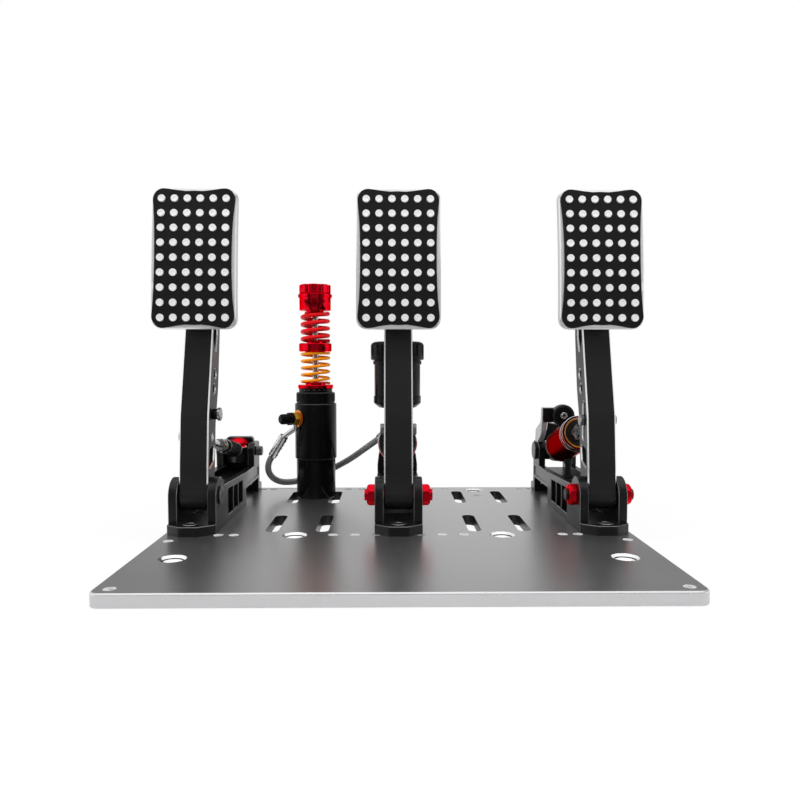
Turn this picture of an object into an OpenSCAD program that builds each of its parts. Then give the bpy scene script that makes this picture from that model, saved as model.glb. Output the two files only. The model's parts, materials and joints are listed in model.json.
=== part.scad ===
// Three-pedal set for a driving simulator: clutch, brake and throttle on one aluminium plate.
// +X is to the driver's right, +Y points away from the driver, +Z is up.
// The origin is the centre of the plate's underside. All sizes are in millimetres.

/* [Base plate] */
// Width of the plate
plate_w = 400; // [396:1:460]
// Depth of the plate
plate_d = 378; // [374:1:430]
// Thickness of the plate
plate_t = 9.5; // [8:0.5:14]
// Radius of the plate's corners
plate_r = 8; // [4:1:10]
// Bevel along the plate's top edge
plate_bevel = 1; // [0.5:0.25:2]
// Diameter of the bolt holes in the two rows
row_hole_d = 8.5; // [8.3:0.1:9]
// Distance of the corner holes from the plate's side
corner_in_x = 11.5; // [10:0.5:14]
// Distance of the corner holes from the plate's front
corner_in_y = 10; // [8:0.5:14]
// Head diameter of the countersunk holes
sink_d = 21; // [18:0.5:22]
// Through diameter of the countersunk holes
sink_hole_d = 11; // [9:0.5:12]
// Half distance between the countersunk mounting holes
sink_x = 88; // [86:0.5:90]
// Width of the long slots
slot_w = 11.5; // [9:0.5:13]
// Length of the long slots
slot_l = 65; // [50:1:68]
// Half distance between the inner slots
slot_inner_x = 66.5; // [62:0.5:68]
// Half distance between the outer slots
slot_outer_x = 110; // [108:0.5:114]

/* [Pedal modules] */
// Distance between neighbouring pedals
pitch = 176; // [174:0.5:177]
// Width of a module's frame
frame_w = 41; // [40:0.5:43]
// Thickness of the frame's side walls
wall_t = 7.5; // [6.5:0.25:8]
// Thickness of the frame's floor and of its rear foot
floor_t = 8.5; // [7:0.5:10]
// Height of the front end of the rails above the plate
rail_h = 36.5; // [35:0.5:40]
// Height of the rear end of the rails above the plate
deck_h = 32.5; // [30:0.5:34]
// Height of the pivot above the plate
pivot_h = 30; // [29:0.5:32]
// Distance of the pivot behind the plate's middle, negative towards the driver
pivot_y = -16; // [-18:0.5:-14]
// Radius of the cheek around the pivot
cheek_r = 16; // [15:0.5:17]
// Diameter of the pivot axle
axle_d = 10; // [8:0.5:11]
// Outer diameter of the pivot bushes
bush_d = 14; // [13:0.5:16]
// Size of the hexagon pivot nuts across their corners
nut_d = 19; // [16:0.5:21]
// Height of the pivot nuts
nut_h = 7; // [6.5:0.25:9]

/* [Pedal arms] */
// Clear space between an arm and each wall of its frame
side_gap = 0.5; // [0.3:0.05:1]
// Height of the clutch's rod pin above its pivot
clutch_pin_up = 50.5; // [49.5:0.5:52.5]
// Height of the brake's rod pin above its pivot
brake_pin_up = 57; // [55.5:0.5:58.5]
// Height of the throttle's rod pin above its pivot
throttle_pin_up = 65; // [62.5:0.5:66.5]
// Distance of the rod pins behind the pivot
pin_back = 7; // [6.5:0.25:8]
// Diameter of the rod pins
pin_d = 6; // [5:0.5:7]
// Diameter of the brake's and the throttle's rod
rod_d = 8; // [7:0.5:9]
// Diameter of the clutch's rod
clutch_rod_d = 6; // [5:0.5:6.5]
// Diameter of a rod's eye
eye_d = 17; // [15:0.5:19]
// Thickness of a rod's eye
eye_t = 9; // [8:0.25:9.5]

/* [Pads] */
// Width of the silver pad plate
pad_w = 73; // [68:1:80]
// Height of the silver pad plate
pad_h = 122; // [116:1:126]
// Thickness of the silver pad plate
pad_t = 9; // [6:0.5:10]
// Thickness of the black grip plate
grip_t = 2; // [1.5:0.25:3]
// Radius of the pad's curve
pad_r = 600; // [450:10:900]
// Diameter of the studs
stud_d = 6.4; // [5:0.2:7]
// Height of a stud above the grip plate
stud_proud = 0.8; // [0.4:0.1:1.4]
// Distance between columns of studs
stud_pitch_x = 11.1; // [10.5:0.1:11.4]
// Distance between rows of studs
stud_pitch_z = 12.85; // [11.5:0.05:13]

/* [Spring units] */
// Distance of the rear pin behind the plate's middle
trunnion_y = 150; // [148:0.5:152]
// Height of the rear pin above the rails' rear end
trunnion_h = 15.5; // [15:0.5:17]
// Diameter of the rear pins
trunnion_d = 8; // [7:0.5:9]
// Outer diameter of the throttle's cup
cup_d = 34; // [32:0.5:34.5]
// Wall of the throttle's cup
cup_wall = 2.5; // [2:0.25:3]
// Length of the throttle's cup
cup_l = 72; // [66:1:74]
// Wire diameter of the throttle's spring
throttle_wire = 2.5; // [2:0.25:3]
// Wire diameter of the clutch's spring
clutch_wire = 2; // [1.6:0.1:2.2]
// Diameter of the throttle's adjuster dial
dial_d = 23; // [20:0.5:25]

/* [Brake cylinder] */
// Diameter of the master cylinder
master_d = 32; // [30:0.5:33]
// Diameter of the brake piston
piston_d = 17.5; // [15:0.5:19]
// Diameter of the ring round the cylinder's mouth
mouth_d = 39; // [38:0.5:41]
// Diameter of the reservoir
reservoir_d = 46.5; // [42:0.5:50]
// Height of the reservoir's underside above the plate
reservoir_up = 100; // [98:1:104]
// Height of the reservoir without its cap
reservoir_h = 59.5; // [54:0.5:64]
// Diameter of the reservoir's cap
cap_d = 54; // [53:0.5:57]

/* [Slave cylinder] */
// Distance of the slave cylinder left of the plate's middle
slave_left = 88; // [87:0.5:88.5]
// Distance of the slave cylinder behind the plate's middle
slave_y = 137; // [136:0.5:137.5]
// Diameter of the slave cylinder's foot
slave_foot_d = 41.8; // [40:0.2:42]
// Diameter of the slave cylinder
slave_d = 44.7; // [43:0.1:45]
// Diameter of the slave piston
slave_piston_d = 36; // [34:0.5:37]
// Diameter of the slave's centre rod
centre_rod_d = 6.5; // [6:0.5:8]
// Outer diameter of the slave's springs
stack_d = 32; // [30:0.5:33]
// Wire diameter of the lower spring
lower_wire = 2.8; // [2.4:0.1:3.4]
// Wire diameter of the upper spring
upper_wire = 4.5; // [3.6:0.1:4.8]

/* [Hose] */
// Outer diameter of the hose
hose_d = 6.75; // [6:0.25:7]
// Diameter of the crimped ferrules
ferrule_d = 9.5; // [8.5:0.25:10]

/* [Hidden] */
$fn = 48;

// Clearances: a running fit, two fixed pieces that touch, and two moving pieces that must not
run_gap = 0.05;
seat_gap = 0.02;
free_gap = 0.3;
cut = 1;

// Heights and places that follow from the sizes above
deck_z = plate_t + deck_h;
pivot_z = plate_t + pivot_h;
gap_w = frame_w - 2 * wall_t;
arm_w = gap_w - 2 * side_gap;
clutch_x = -pitch;
throttle_x = pitch;
row_front_y = -37.5;
row_rear_y = 177;
sink_front_y = -38.5;
sink_rear_y = 170;
side_sink = [169.5, -109];
side_hole = [188.8, -57];
row_front_x = [18.6, 37.2, 55.6, 139.5, 152.5];
row_rear_x = [40, 55.5, 141, 153];
slot_front_y = 5.75;
slot_rear_y = 129.5;
bolt_d = 8;
bolt_head_d = 12.5;
bolt_head_h = 5;
bolt_sink = 3.7;

// Frame stations along Y and heights above the plate
cheek_front_y = pivot_y - cheek_r;
nose_y = cheek_front_y - 13.5;
rail_y0 = pivot_y + cheek_r + 2;
rail_y1 = 94;
deck_y0 = 97;
frame_end_y = 169;
foot_end_y = 184;
arch_h = 16;
window_y0 = 13.5;
window_y1 = 77.5;
window_z0 = plate_t + 6.5;
window_top = 6;
rib_t = 2.5;
function rail_top(y) = plate_t + rail_h + (deck_h - rail_h) * (y - rail_y0) / (deck_y0 - rail_y0);

// Pad curve: the axis of the pad's arc lies level with the pad's lower edge
pad_z0 = pivot_z + 144.5;
pad_front_y = pivot_y - 5;
pad_axis = [pad_front_y + pad_r, pad_z0 + 1];
pad_front_r = pad_r - grip_t - seat_gap;
pad_back_r = pad_front_r - pad_t;
pad_mid_z = pad_z0 + pad_h / 2;
grip_w = pad_w - 2;
grip_h = pad_h - 2;
stud_rows = 9;
stud_columns = 6;
arc_fn = 1440;

// Rod lines of the clutch and throttle, from the rear pin to the pin in the arm
pin_y = pivot_y + pin_back;
clutch_pin_z = pivot_z + clutch_pin_up;
brake_pin_z = pivot_z + brake_pin_up;
throttle_pin_z = pivot_z + throttle_pin_up;
pin_slot_top = 78.5;
trunnion_z = deck_z + trunnion_h;
clutch_l = norm([pin_y - trunnion_y, clutch_pin_z - trunnion_z]);
throttle_l = norm([pin_y - trunnion_y, throttle_pin_z - trunnion_z]);
lug_d = 20;
block_gap = 27;
block_front_y = 138;
block_h = 25;
block_back_t = 8;
neck_d = 24.5;
cup_u0 = 28;
cup_flange_t = 5;
cup_plug_l = 5;
cup_bore = cup_d - 2 * cup_wall;
cup_front_u = cup_u0 + cup_flange_t + cup_l;
guide_gap = 1.2;
collar_t = 4;
throttle_collar_u = cup_front_u - 6;
clutch_seat_u = 17;
clutch_tube_u = 36;
clutch_collar_u = 58;
clutch_ring_u = 74;
clutch_spring_d = 16.5;
dial_y0 = 112;
dial_t = 11;
dial_z = trunnion_z + 41.3;
hub_y0 = dial_y0 + dial_t + free_gap;
hub_t = 7;

// Brake line, from the pin in the arm down to the rear
brake_tilt = 15.5;
mouth_v = 70;
plate_v = 6;
ring_v = 4;
master_end_v = 140;
tip_v = 86;
cradle_l = 20;
reservoir_y = 90;
port_y = 112;

// Slave cylinder heights
slave_x = -slave_left;
slave_step_z = plate_t + 42;
slave_top_z = slave_step_z + 59.5;
lock_z = slave_top_z + 12;
sleeve_z = lock_z + 4;
flange_z = sleeve_z + 4;
collar_z0 = flange_z + 35.6;
collar_z1 = collar_z0 + 9;
top_cup_z0 = collar_z1 + 35;
top_cup_z1 = top_cup_z0 + 17.4;
knob_z1 = top_cup_z1 + 10;
banjo_z = slave_top_z - 15.5;
port_turn = 40;
port_in = 3;
port_gap = 0.5;

// Hose route from the slave cylinder's ferrule to the master cylinder's
hose_route = [[-134.3, 131, 54.4], [-138, 133, 48.5], [-139.9, 135.6, 42], [-139.7, 138.8, 35.6],
  [-137.2, 142.5, 29.8], [-132.7, 146.6, 25.3], [-126.5, 150.8, 22.6], [-118.5, 155, 21.8],
  [-109, 158.8, 22.6], [-98.5, 162, 24.9], [-87, 163.8, 28.6], [-76, 163.3, 33.6],
  [-65, 160.5, 39.6], [-55, 155, 45.8], [-45.5, 148, 52.6], [-36, 140, 60.2],
  [-27.5, 132.5, 67], [-19, 126, 73.8]];
hose_sides = 10;
ferrule_l = 27;

// Points of a rounded corner at b between a and c
function unit(v) = v / norm(v);
function corner(a, b, c, r, n) =
  let (u = unit(a - b), v = unit(c - b), half = acos(u * v) / 2)
  let (m = b + unit(u + v) * r / sin(half), p = b + u * r / tan(half) - m)
  let (q = b + v * r / tan(half) - m, s = atan2(p.y, p.x))
  let (turn = atan2(p.x * q.y - p.y * q.x, p * q))
  [for (i = [0:n]) m + r * [cos(s + turn * i / n), sin(s + turn * i / n)]];

// Outline with every corner rounded; a radius of 0 keeps its point
function rounded(pts, radii, n = 6) =
  let (k = len(pts))
  [for (i = [0:k - 1])
    let (r = is_list(radii) ? radii[i] : radii)
    each (r == 0 ? [pts[i]] : corner(pts[(i + k - 1) % k], pts[i], pts[(i + 1) % k], r, n))];

// Points of an edge from a to b that dips to its left by the given depth in the middle
function dipped(a, b, dip) =
  let (side = unit([a.y - b.y, b.x - a.x]))
  [for (t = [0.2:0.1:0.8]) a + (b - a) * t + side * dip * (1 - pow(2 * t - 1, 2))];

// Outline of the grip plate, drawn in on all four sides
function cushion(w, h, dip_side, dip_top, dip_low) =
  let (bl = [-w / 2, -h / 2], br = [w / 2, -h / 2], tr = [w / 2, h / 2], tl = [-w / 2, h / 2])
  concat([bl], dipped(bl, br, dip_low), [br], dipped(br, tr, dip_side),
    [tr], dipped(tr, tl, dip_top), [tl], dipped(tl, bl, dip_side));

// Helix of a spring's wire, with a straight end of one wire diameter at each end
function helix(r, z0, z1, turns, wire, per_turn = 8) =
  let (steps = round(turns * per_turn), rise = (z1 - z0) / steps)
  let (turn = 360 / per_turn)
  let (mid = [for (i = [0:steps]) [r * cos(turn * i), r * sin(turn * i), z0 + rise * i]])
  let (last = 360 * steps / per_turn)
  concat([mid[0] - wire * [0, 1, 0]], mid, [mid[steps] + wire * [-sin(last), cos(last), 0]]);

// Least clear distance between a spring's turns, measured on its points
function least_gap(path, wire, per_turn = 8) =
  let (n = len(path) - 1)
  min([for (i = [0:n], j = [i + per_turn / 2:1:n]) norm(path[i] - path[j])]) - wire;

// Direction of a route at one of its points
function heading(path, i) = unit(path[min(i + 1, len(path) - 1)] - path[max(i - 1, 0)]);

// Points of the ring of a tube about one point of its route
function tube_ring(p, dir, guide, r, sides) =
  let (e1 = unit(cross(dir, guide)), e2 = cross(dir, e1))
  [for (k = [0:sides - 1]) p + r * (cos(360 * k / sides) * e1 + sin(360 * k / sides) * e2)];

// Round tube swept along a route; guide is a direction that the route never takes
module tube(path, d, guide, sides) {
  rings = len(path);
  points = [for (i = [0:rings - 1]) each tube_ring(path[i], heading(path, i), guide, d / 2, sides)];
  walls = [for (i = [0:rings - 2], k = [0:sides - 1])
    let (a = i * sides + k, b = i * sides + (k + 1) % sides)
    each [[a, a + sides, b + sides], [a, b + sides, b]]];
  first = [for (k = [1:sides - 2]) [0, k, k + 1]];
  base = (rings - 1) * sides;
  last = [for (k = [1:sides - 2]) [base, base + k + 1, base + k]];
  polyhedron(points = points, faces = concat(walls, first, last), convexity = 10);
}

// Cylinder along X, centred on its place
module bar_x(d, l) {
  rotate([0, 90, 0]) cylinder(d = d, h = l, center = true);
}

// Cylinder that points away from the driver
module bar_y(d, l) {
  rotate([-90, 0, 0]) cylinder(d = d, h = l);
}

// Cylinder from one point to another
module bar(a, b, d) {
  v = b - a;
  translate(a) rotate([0, acos(v.z / norm(v)), atan2(v.y, v.x)]) cylinder(d = d, h = norm(v));
}

// Flat shape given in Y and Z, made w wide along X
module side_shape(w) {
  rotate([90, 0, 90]) linear_extrude(w, center = true) children();
}

// Flat shape given in X and Z, made t deep along Y
module front_shape(t) {
  rotate([90, 0, 0]) linear_extrude(t, center = true) children();
}

// Place on the line from a rear pin to a rod pin, with +Z towards the arm
module on_link(pin_z) {
  tilt = atan2(pin_z - trunnion_z, trunnion_y - pin_y);
  translate([0, trunnion_y, trunnion_z]) rotate([90 - tilt, 0, 0]) children();
}

module on_clutch() {
  translate([clutch_x, 0, 0]) on_link(clutch_pin_z) children();
}

module on_throttle() {
  translate([throttle_x, 0, 0]) on_link(throttle_pin_z) children();
}

// Place on the brake line, with +Z away from the arm
module on_brake() {
  translate([0, pin_y, brake_pin_z]) rotate([-90 - brake_tilt, 0, 0]) children();
}

// Round-ended slot
module slot(l, w) {
  square([w, l - w], center = true);
  for (end = [-1, 1]) translate([0, end * (l - w) / 2]) circle(d = w);
}

// Plate with round corners and a bevelled top edge
module bevelled_slab(w, d, t, r, c) {
  front_shape(d - 2 * r) slab_edge(w, t, c);
  side_shape(w - 2 * r) slab_edge(d, t, c);
  for (x = [-1, 1], y = [-1, 1])
    translate([x * (w / 2 - r), y * (d / 2 - r), 0])
      rotate_extrude() polygon([[0, 0], [r, 0], [r, t - c], [r - c, t], [0, t]]);
}

module slab_edge(w, t, c) {
  polygon([[-w / 2, 0], [w / 2, 0], [w / 2, t - c], [w / 2 - c, t], [c - w / 2, t],
    [-w / 2, t - c]]);
}

module plate_hole(x, y, d) {
  translate([x, y, -cut]) cylinder(d = d, h = plate_t + 2 * cut);
}

module sink_hole(x, y) {
  depth = (sink_d - sink_hole_d) / 2;
  plate_hole(x, y, sink_hole_d);
  translate([x, y, plate_t - depth]) cylinder(d1 = sink_hole_d, d2 = sink_d + 2 * cut, h = depth + cut);
}

module base_plate() color([0.67, 0.67, 0.68]) difference() {
  bevelled_slab(plate_w, plate_d, plate_t, plate_r, plate_bevel);
  for (side = [-1, 1]) {
    plate_hole(side * (plate_w / 2 - corner_in_x), corner_in_y - plate_d / 2, row_hole_d);
    plate_hole(side * side_hole.x, side_hole.y, row_hole_d);
    plate_hole(side * slave_left, slave_y, row_hole_d);
    sink_hole(side * side_sink.x, side_sink.y);
    sink_hole(side * sink_x, sink_front_y);
    sink_hole(side * sink_x, sink_rear_y);
    for (x = row_front_x) plate_hole(side * x, row_front_y, row_hole_d);
    for (x = row_rear_x) plate_hole(side * x, row_rear_y, row_hole_d);
    for (x = [slot_inner_x, slot_outer_x], y = [slot_front_y, slot_rear_y])
      translate([side * x, y, -cut]) linear_extrude(plate_t + 2 * cut) slot(slot_l, slot_w);
  }
  for (x = [clutch_x, 0, throttle_x], y = [row_front_y, row_rear_y]) plate_hole(x, y, row_hole_d);
}

// Socket-head screw that holds a module to the plate
module module_screw() {
  seat_z = plate_t + floor_t - bolt_sink;
  difference() {
    union() {
      translate([0, 0, 1]) cylinder(d = bolt_d, h = seat_z - 1);
      translate([0, 0, seat_z]) cylinder(d = bolt_head_d, h = bolt_head_h);
    }
    translate([0, 0, seat_z + bolt_head_h - 3]) cylinder(d = 6.9, h = 3 + cut, $fn = 6);
  }
}

module module_screws() color([0.1, 0.1, 0.1])
  for (x = [clutch_x, 0, throttle_x], y = [row_front_y, row_rear_y])
    translate([x, y, 0]) module_screw();

// Side of a module's frame: cheek, windowed rail and raised rear end
module frame_side() {
  difference() {
    union() {
      translate([pivot_y, pivot_z]) circle(r = cheek_r);
      polygon([[cheek_front_y, plate_t], [cheek_front_y, pivot_z], [pivot_y, pivot_z + cheek_r / 2],
        [rail_y0, plate_t + rail_h], [deck_y0, deck_z], [frame_end_y, deck_z],
        [frame_end_y, plate_t], [frame_end_y - wall_t, plate_t],
        [frame_end_y - wall_t, plate_t + arch_h], [rail_y1, plate_t + arch_h], [rail_y1, plate_t]]);
    }
    difference() {
      polygon([[window_y0, window_z0], [window_y1, window_z0], [window_y1, rail_top(window_y1) - window_top],
        [window_y0, rail_top(window_y0) - window_top]]);
      for (k = [1, 2]) window_rib(window_y0 + k * (window_y1 - window_y0) / 3);
    }
  }
}

// Bowed rib between two windows of a rail
module window_rib(y) {
  bow_r = 45;
  mid_z = (window_z0 + rail_top(y) - window_top) / 2;
  intersection() {
    translate([y - 4, window_z0 - cut]) square([8, deck_z]);
    translate([y + bow_r, mid_z]) difference() {
      circle(r = bow_r + rib_t / 2, $fn = 180);
      circle(r = bow_r - rib_t / 2, $fn = 180);
    }
  }
}

module frame() {
  half = frame_w / 2;
  difference() {
    union() {
      for (side = [-1, 1])
        translate([side * (half - wall_t / 2), 0, 0]) side_shape(wall_t) frame_side();
      translate([0, 0, plate_t]) linear_extrude(floor_t) polygon(rounded(
        [[-half, rail_y0 + 8], [-half, nose_y + 9], [-8, nose_y], [8, nose_y], [half, nose_y + 9],
        [half, rail_y0 + 8]], [0, 3, 5, 5, 3, 0]));
      translate([-half, rail_y1 - 10, plate_t]) cube([frame_w, 10, arch_h]);
      translate([-half, rail_y1 - 10, plate_t + arch_h])
        cube([frame_w, frame_end_y - rail_y1 + 10, deck_h - arch_h - 6]);
      translate([0, 0, plate_t]) linear_extrude(floor_t) polygon(rounded(
        [[-half, frame_end_y - wall_t], [half, frame_end_y - wall_t], [half, foot_end_y],
        [-half, foot_end_y]], [0, 0, 4, 4]));
    }
    translate([0, pivot_y, pivot_z]) bar_x(axle_d + 2 * seat_gap, frame_w + 2 * cut);
    for (y = [row_front_y, row_rear_y])
      translate([0, y, plate_t]) {
        translate([0, 0, -cut]) cylinder(d = bolt_d + 2 * seat_gap, h = floor_t + 2 * cut);
        translate([0, 0, floor_t - bolt_sink]) cylinder(d = bolt_head_d + 1, h = bolt_sink + cut);
      }
    for (side = [-1, 1]) translate([side * half, 0, 0]) side_shape(1.6)
      polygon(rounded([[deck_y0 + 3, plate_t + arch_h + 3.5], [frame_end_y - 6, plate_t + arch_h + 3.5],
        [frame_end_y - 6, deck_z - 3.5], [deck_y0 + 3, deck_z - 3.5]], 1.5));
  }
}

module clutch_frame() color([0.13, 0.13, 0.14]) translate([clutch_x, 0, 0]) frame();
module brake_frame() color([0.13, 0.13, 0.14]) frame();
module throttle_frame() color([0.13, 0.13, 0.14]) translate([throttle_x, 0, 0]) frame();

module axle(proud) {
  translate([0, pivot_y, pivot_z]) bar_x(axle_d, frame_w + 2 * proud);
}

cap_h = 1.6;
cap_grip = 1;
axle_end = 2.2;
module clutch_axle() color([0.6, 0.6, 0.62]) translate([clutch_x, 0, 0]) axle(cap_grip);
module brake_axle() color([0.6, 0.6, 0.62]) axle(nut_h + axle_end);
module throttle_axle() color([0.6, 0.6, 0.62]) translate([throttle_x, 0, 0]) axle(nut_h + axle_end);

module clutch_axle_caps() color([0.08, 0.08, 0.08]) translate([clutch_x, pivot_y, pivot_z])
  for (side = [-1, 1]) difference() {
    translate([side * (frame_w + cap_h) / 2, 0, 0]) bar_x(cheek_r, cap_h);
    bar_x(axle_d + 2 * seat_gap, frame_w + 2 * cap_grip + 2 * seat_gap);
  }

// Pair of bevelled hexagon nuts on the ends of a pivot axle
module axle_nuts() {
  bevel = 1.8;
  r = nut_d / 2;
  translate([0, pivot_y, pivot_z]) for (side = [-90, 90]) rotate([0, side, 0])
    translate([0, 0, frame_w / 2]) difference() {
      intersection() {
        cylinder(d = nut_d, h = nut_h, $fn = 6);
        rotate_extrude() polygon([[0, 0], [r, 0], [r, nut_h - bevel], [r - bevel, nut_h], [0, nut_h]]);
      }
      translate([0, 0, -cut]) cylinder(d = axle_d + 2 * seat_gap, h = nut_h + 2 * cut);
    }
}

module brake_axle_nuts() color([0.78, 0.07, 0.12]) axle_nuts();
module throttle_axle_nuts() color([0.78, 0.07, 0.12]) translate([throttle_x, 0, 0]) axle_nuts();

// Pair of plain bushes pressed into an arm
module bushes() {
  bush_l = 9;
  translate([0, pivot_y, pivot_z]) for (side = [-1, 1])
    translate([side * (arm_w - bush_l) / 2, 0, 0]) difference() {
      bar_x(bush_d, bush_l);
      bar_x(axle_d + 2 * run_gap, bush_l + 2 * cut);
    }
}

module clutch_bushes() color([0.7, 0.55, 0.3]) translate([clutch_x, 0, 0]) bushes();
module brake_bushes() color([0.7, 0.55, 0.3]) bushes();
module throttle_bushes() color([0.7, 0.55, 0.3]) translate([throttle_x, 0, 0]) bushes();

// Side view of an arm's blade, measured from its pivot
module arm_blade() {
  polygon(rounded([[-11.5, -3], [-10.2, 25], [-5.3, 69.9], [14.6, 144.9], [16, 172.5], [33, 238.5],
    [41, 172.5], [40, 140.5], [31, 91.5], [20, 60.5], [17, 33.5], [11.5, -3]],
    [0, 20, 40, 10, 0, 0, 40, 60, 60, 40, 20, 0]));
}

// Side view of the head that carries the pad, cut to the curve of the pad's back
module arm_head() {
  intersection() {
    polygon([[18, 149.5], [-10, 162.5], [-10, 238.5], [32, 238.5], [36, 172.5]]);
    translate(pad_axis - [pivot_y, pivot_z]) circle(r = pad_back_r - seat_gap, $fn = arc_fn);
  }
}

// Side view of the openings that lighten an arm
module arm_cuts() {
  polygon(rounded([[24.5, 123.5], [31, 140.5], [32, 164.5], [24, 164.5], [16.5, 136.5]],
    [2, 6, 2, 2, 5]));
  translate([20.5, 105.5]) circle(d = 8);
  translate([16.5, 92.5]) circle(d = 8);
  polygon(rounded([[-5, 23.5], [11, 28.5], [14.5, 42.5], [-2, 39.5]], 2));
}

// Side view of the slot between an arm's two cheeks in which a rod's eye turns
module eye_slot() {
  low = clutch_pin_up - eye_d / 2 - 4;
  high = pin_slot_top + 6;
  front = pin_back - eye_d / 2 - 1;
  polygon([[front - 2, low], [60, low], [60, high], [pin_back, high], [front + 3, pin_slot_top - 3],
    [front, throttle_pin_up - 3]]);
}

// Arm with its bore and openings; the children are the side view of the holes for its bolts
module arm() {
  hub_d = 25;
  translate([0, pivot_y, pivot_z]) difference() {
    union() {
      bar_x(hub_d, arm_w);
      side_shape(arm_w) arm_blade();
      side_shape(arm_w) arm_head();
    }
    side_shape(arm_w + 2 * cut) arm_cuts();
    side_shape(arm_w + 2 * cut) children();
    side_shape(eye_t + 1) eye_slot();
    bar_x(bush_d + 2 * seat_gap, arm_w + 2 * cut);
  }
}

// Slot along which a rod pin is set
module pin_slot() {
  translate([pin_back, (clutch_pin_up + pin_slot_top) / 2])
    slot(pin_slot_top - clutch_pin_up + pin_d + 2 * seat_gap, pin_d + 2 * seat_gap);
}

// Holes for the clutch's rod pin and for the bolt above it
module clutch_pin_holes() {
  for (up = [clutch_pin_up, stop_up]) translate([pin_back, up]) circle(d = pin_d + 2 * seat_gap);
}

stop_up = 70.5;
module clutch_arm() color([0.12, 0.12, 0.12]) translate([clutch_x, 0, 0]) arm() clutch_pin_holes();
module brake_arm() color([0.12, 0.12, 0.12]) arm() pin_slot();
module throttle_arm() color([0.12, 0.12, 0.12]) translate([throttle_x, 0, 0]) arm() pin_slot();

// Curved shell of the pad between two radii
module pad_shell(r0, r1) {
  reach = pad_h + 10;
  top = asin(reach / pad_r);
  low = asin(10 / pad_r);
  translate([0, pad_axis.x, pad_axis.y]) rotate([90, 0, 90]) rotate([0, 0, 180 - top])
    rotate_extrude(angle = top + low, $fn = arc_fn)
      translate([r0, -pad_w]) square([r1 - r0, 2 * pad_w]);
}

// Place of a stud, on the pad's front at a height above its middle, with +Z out of the pad
module on_pad(x, z) {
  translate([x, pad_axis.x, pad_axis.y]) rotate([-asin((pad_mid_z - pad_axis.y + z) / pad_r), 0, 0])
    translate([0, -pad_front_r, 0]) rotate([90, 0, 0]) children();
}

module each_stud() {
  for (i = [0:stud_columns - 1], j = [0:stud_rows - 1])
    on_pad((i - (stud_columns - 1) / 2) * stud_pitch_x, (j - (stud_rows - 1) / 2) * stud_pitch_z)
      children();
}

// Silver pad plate with its studs
module pad() {
  intersection() {
    pad_shell(pad_back_r, pad_front_r);
    translate([0, pivot_y, pad_mid_z]) front_shape(120)
      polygon(rounded([[-pad_w / 2, -pad_h / 2], [pad_w / 2, -pad_h / 2], [pad_w / 2, pad_h / 2],
        [-pad_w / 2, pad_h / 2]], 9));
  }
  each_stud() translate([0, 0, -pad_t / 2])
    cylinder(d = stud_d, h = pad_t / 2 + grip_t + seat_gap + stud_proud);
}

module clutch_pad() color([0.85, 0.85, 0.86]) translate([clutch_x, 0, 0]) pad();
module brake_pad() color([0.85, 0.85, 0.86]) pad();
module throttle_pad() color([0.85, 0.85, 0.86]) translate([throttle_x, 0, 0]) pad();

// Black grip plate with a hole for each stud
module grip() {
  outline = cushion(grip_w, grip_h, 2.6, 2.2, 3);
  is_corner = [for (i = [0:len(outline) - 1]) i % 8 == 0 ? 8.5 : 0];
  difference() {
    intersection() {
      pad_shell(pad_front_r + seat_gap, pad_r);
      translate([0, pivot_y, pad_mid_z]) front_shape(120) polygon(rounded(outline, is_corner));
    }
    each_stud() translate([0, 0, -cut]) cylinder(d = stud_d + 2 * run_gap, h = grip_t + 2 * cut);
  }
}

module clutch_grip() color([0.06, 0.06, 0.06]) translate([clutch_x, 0, 0]) grip();
module brake_grip() color([0.06, 0.06, 0.06]) grip();
module throttle_grip() color([0.06, 0.06, 0.06]) translate([throttle_x, 0, 0]) grip();

// Bolt through an arm that carries a rod's eye, with a head of its own length on each side
module rod_pin(pin_z, left_head, right_head) {
  head_d = 10;
  translate([-arm_w / 2, pin_y, pin_z]) rotate([0, 90, 0]) {
    translate([0, 0, -1]) cylinder(d = pin_d, h = arm_w + 1 + min(right_head, 1));
    translate([0, 0, -left_head]) cylinder(d = head_d, h = left_head);
    if (right_head > 0) translate([0, 0, arm_w]) cylinder(d = head_d, h = right_head);
  }
}

// Flanged bolt on a barrel above the clutch's rod pin
module stop_bolt() {
  translate([arm_w / 2, pin_y, pivot_z + stop_up]) rotate([0, 90, 0]) {
    translate([0, 0, 1 - wall_t]) cylinder(d = pin_d, h = wall_t + 2);
    translate([0, 0, seat_gap]) cylinder(d = 9.4, h = 6);
    translate([0, 0, 5]) cylinder(d = 11.6, h = 3);
  }
}

module clutch_rod_pin() color([0.5, 0.5, 0.52]) translate([clutch_x, 0, 0]) {
  rod_pin(clutch_pin_z, 3.5, 0);
  stop_bolt();
}
module brake_rod_pin() color([0.5, 0.5, 0.52]) rod_pin(brake_pin_z, 3.5, 3.5);
module throttle_rod_pin() color([0.5, 0.5, 0.52]) translate([throttle_x, 0, 0])
  rod_pin(throttle_pin_z, 3.5, 3.5);

// Rod with its eye at the far end of the given length
module rod_with_eye(d, start, end) {
  difference() {
    union() {
      translate([0, 0, start]) cylinder(d = d, h = end - start);
      translate([0, 0, end]) bar_x(eye_d, eye_t);
    }
    translate([0, 0, end]) bar_x(pin_d + 2 * run_gap, eye_t + 2 * cut);
  }
}

module clutch_rod() color([0.62, 0.62, 0.64]) on_clutch() {
  rod_with_eye(clutch_rod_d, clutch_tube_u - 7, clutch_l);
  translate([0, 0, clutch_collar_u]) cylinder(d = clutch_spring_d - 2, h = 3);
  translate([0, 0, clutch_ring_u]) cylinder(d = 13, h = 3);
  translate([0, 0, clutch_ring_u + 3]) cylinder(d = 11, h = 2);
  translate([0, 0, clutch_ring_u + 5]) cylinder(d = 12.7, h = 5, $fn = 6);
}

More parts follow.
